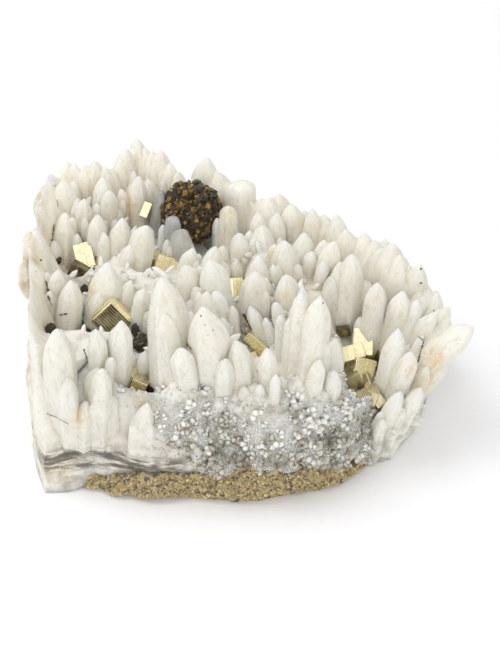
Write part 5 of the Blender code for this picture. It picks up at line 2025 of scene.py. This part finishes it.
class SPECIMEN_OT_sugar(bpy.types.Operator):
    """Sprinkle the sugary quartz and the small crystals over the crust"""
    bl_idname = "specimen.sugar"
    bl_label = "Sugary quartz"

    def execute(self, context):
        settings = context.scene.specimen_quartz
        ground = crust_mesh()
        sugar = sugary_quartz(settings)
        milky = bpy.data.materials["milky_quartz"]
        sugar_sizes = (settings.sugar_small, settings.sugar_large)
        stub_sizes = (settings.stub_small, settings.stub_large)
        bed_sizes = (settings.bed_small, settings.bed_large)
        for name, rule, crystal, material, spacing, sizes, lean, seed in (
                ("sugary_quartz", sugar_thickness, point_crystal(), sugar,
                 settings.sugar_spacing, sugar_sizes, SUGAR_LEAN, SEED),
                ("stubby_quartz", sugar_thickness, stubby_crystal(TUFT_STRETCH, TUFT), sugar,
                 settings.stub_spacing, stub_sizes, TUFT_LEAN, SEED + 1),
                ("small_quartz_points", bed_thickness, stubby_crystal(BED_STRETCH), milky,
                 settings.bed_spacing, bed_sizes, BED_LEAN, SEED + 2)):
            thicken(ground, rule)
            mesh = scattered(ground, crystal, material, spacing, sizes, lean, seed)
            new_piece(name, mesh, None, ["quartz_cluster"])
        return {"FINISHED"}


class SPECIMEN_OT_slab(bpy.types.Operator):
    """Build the slab of granular pyrite and its grains"""
    bl_idname = "specimen.slab"
    bl_label = "Granular pyrite"

    def execute(self, context):
        settings = context.scene.specimen_grains
        mesh = slab_mesh()
        thicken(mesh, grain_thickness)
        material = granular_pyrite(settings)
        new_piece("granular_pyrite", mesh, material, ["pyrite_matrix"])
        grains = scattered(mesh, block_crystal(GRAIN_CUT), material, settings.spacing,
                           (settings.small, settings.large), GRAIN_LEAN, SEED)
        new_piece("pyrite_grains_of_slab", grains, None, ["pyrite_matrix"])
        return {"FINISHED"}


class SPECIMEN_OT_pyrite(bpy.types.Operator):
    """Set the pyrite crystals between the quartz points"""
    bl_idname = "specimen.pyrite"
    bl_label = "Pyrite crystals"

    def execute(self, context):
        settings = context.scene.specimen_pyrite
        material = bright_pyrite(settings)
        rng = random.Random(SEED + 30)
        for name in INCLUSIONS:
            meshes = [grooved_block(part, middle, settings, rng)
                      for owner, part, middle in layout.places if owner == name and isinstance(part, Block)]
            if not meshes:
                continue
            mesh = joined(meshes[0], meshes[1:], name) if len(meshes) > 1 else meshes[0]
            new_piece("dressed_" + name, mesh, material, [name])
        return {"FINISHED"}


class SPECIMEN_OT_brown(bpy.types.Operator):
    """Set the brown nodule and the brown lumps"""
    bl_idname = "specimen.brown"
    bl_label = "Brown mineral"

    def execute(self, context):
        settings = context.scene.specimen_brown
        material = brown_mineral(settings)
        for name, part, middle in layout.places:
            if not isinstance(part, Lump):
                continue
            mesh = rough_lump(part, middle)
            new_piece("dressed_" + name, mesh, material, [name])
            if name == "brown_nodule":
                thicken(mesh, full_thickness)
                crystals = scattered(mesh, block_crystal(NODULE_CUT), material, settings.spacing,
                                     (settings.small, settings.large), NODULE_LEAN, SEED)
                new_piece("nodule_crystals", crystals, None, [name])
        return {"FINISHED"}


class SPECIMEN_OT_specks(bpy.types.Operator):
    """Scatter the dark specks over the quartz"""
    bl_idname = "specimen.specks"
    bl_label = "Dark specks"

    def execute(self, context):
        tree = tree_of(bpy.data.objects["milky_quartz"].data)
        mesh = speck_mesh(tree, random.Random(SEED + 40))
        material = bpy.data.materials["brown_mineral"]
        new_piece("dark_specks", mesh, material, ["quartz_cluster"])
        return {"FINISHED"}


class SPECIMEN_OT_stage(bpy.types.Operator):
    """Lay the floor, hang the lights and stand the camera"""
    bl_idname = "specimen.stage"
    bl_label = "Stage"

    def execute(self, context):
        settings = context.scene.specimen_stage
        bm = bmesh.new()
        bmesh.ops.create_grid(bm, x_segments=1, y_segments=1, size=FLOOR_REACH)
        floor = bpy.data.objects.new("floor", mesh_of(bm, "floor"))
        floor.data.materials.append(Surface("floor", settings.floor).finished(Roughness=FLOOR_ROUGHNESS))
        context.scene.collection.objects.link(floor)
        world = bpy.data.worlds.new("studio")
        world.use_nodes = True
        background = world.node_tree.nodes["Background"]
        background.inputs["Color"].default_value = WHITE
        background.inputs["Strength"].default_value = settings.world
        context.scene.world = world
        for name, place, side in LIGHTS:
            data = bpy.data.lights.new(name, "AREA")
            data.shape = "SQUARE"
            data.size = side
            data.energy = getattr(settings, name)
            light = bpy.data.objects.new(name, data)
            light.location = place
            light.rotation_euler = (-Vector(place)).to_track_quat("-Z", "Y").to_euler()
            context.scene.collection.objects.link(light)
        data = bpy.data.cameras.new("camera")
        data.sensor_width = SENSOR_WIDTH
        data.lens = FOCAL_PIXELS * data.sensor_width / PICTURE_SIZE[1]
        camera = bpy.data.objects.new("camera", data)
        camera.matrix_world = Matrix.Translation(VIEWPOINT) @ VIEW_BASIS.to_4x4()
        context.scene.collection.objects.link(camera)
        context.scene.camera = camera
        context.scene.view_settings.view_transform = "Standard"
        return {"FINISHED"}


STEPS = (
    SPECIMEN_OT_quartz, SPECIMEN_OT_sugar, SPECIMEN_OT_slab, SPECIMEN_OT_pyrite,
    SPECIMEN_OT_brown, SPECIMEN_OT_specks, SPECIMEN_OT_stage,
)
SETTINGS = {
    "specimen_quartz": QuartzSettings,
    "specimen_grains": GrainSettings,
    "specimen_pyrite": PyriteSettings,
    "specimen_brown": BrownSettings,
    "specimen_stage": StageSettings,
}


class SPECIMEN_PT_panel(bpy.types.Panel):
    """Steps of the specimen, in order"""
    bl_idname = "SPECIMEN_PT_panel"
    bl_label = "Pyrite with quartz"
    bl_space_type = "VIEW_3D"
    bl_region_type = "UI"
    bl_category = "Specimen"

    def draw(self, context):
        for step in STEPS:
            self.layout.operator(step.bl_idname)


CLASSES = (*SETTINGS.values(), *STEPS, SPECIMEN_PT_panel)


def register():
    for known in CLASSES:
        bpy.utils.register_class(known)
    for name, kind in SETTINGS.items():
        setattr(bpy.types.Scene, name, bpy.props.PointerProperty(type=kind))


def unregister():
    for name in SETTINGS:
        delattr(bpy.types.Scene, name)
    for known in reversed(CLASSES):
        bpy.utils.unregister_class(known)


def main():
    register()
    for step in STEPS:
        family, name = step.bl_idname.split(".")
        getattr(getattr(bpy.ops, family), name)()
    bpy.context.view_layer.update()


if __name__ == "__main__":
    main()
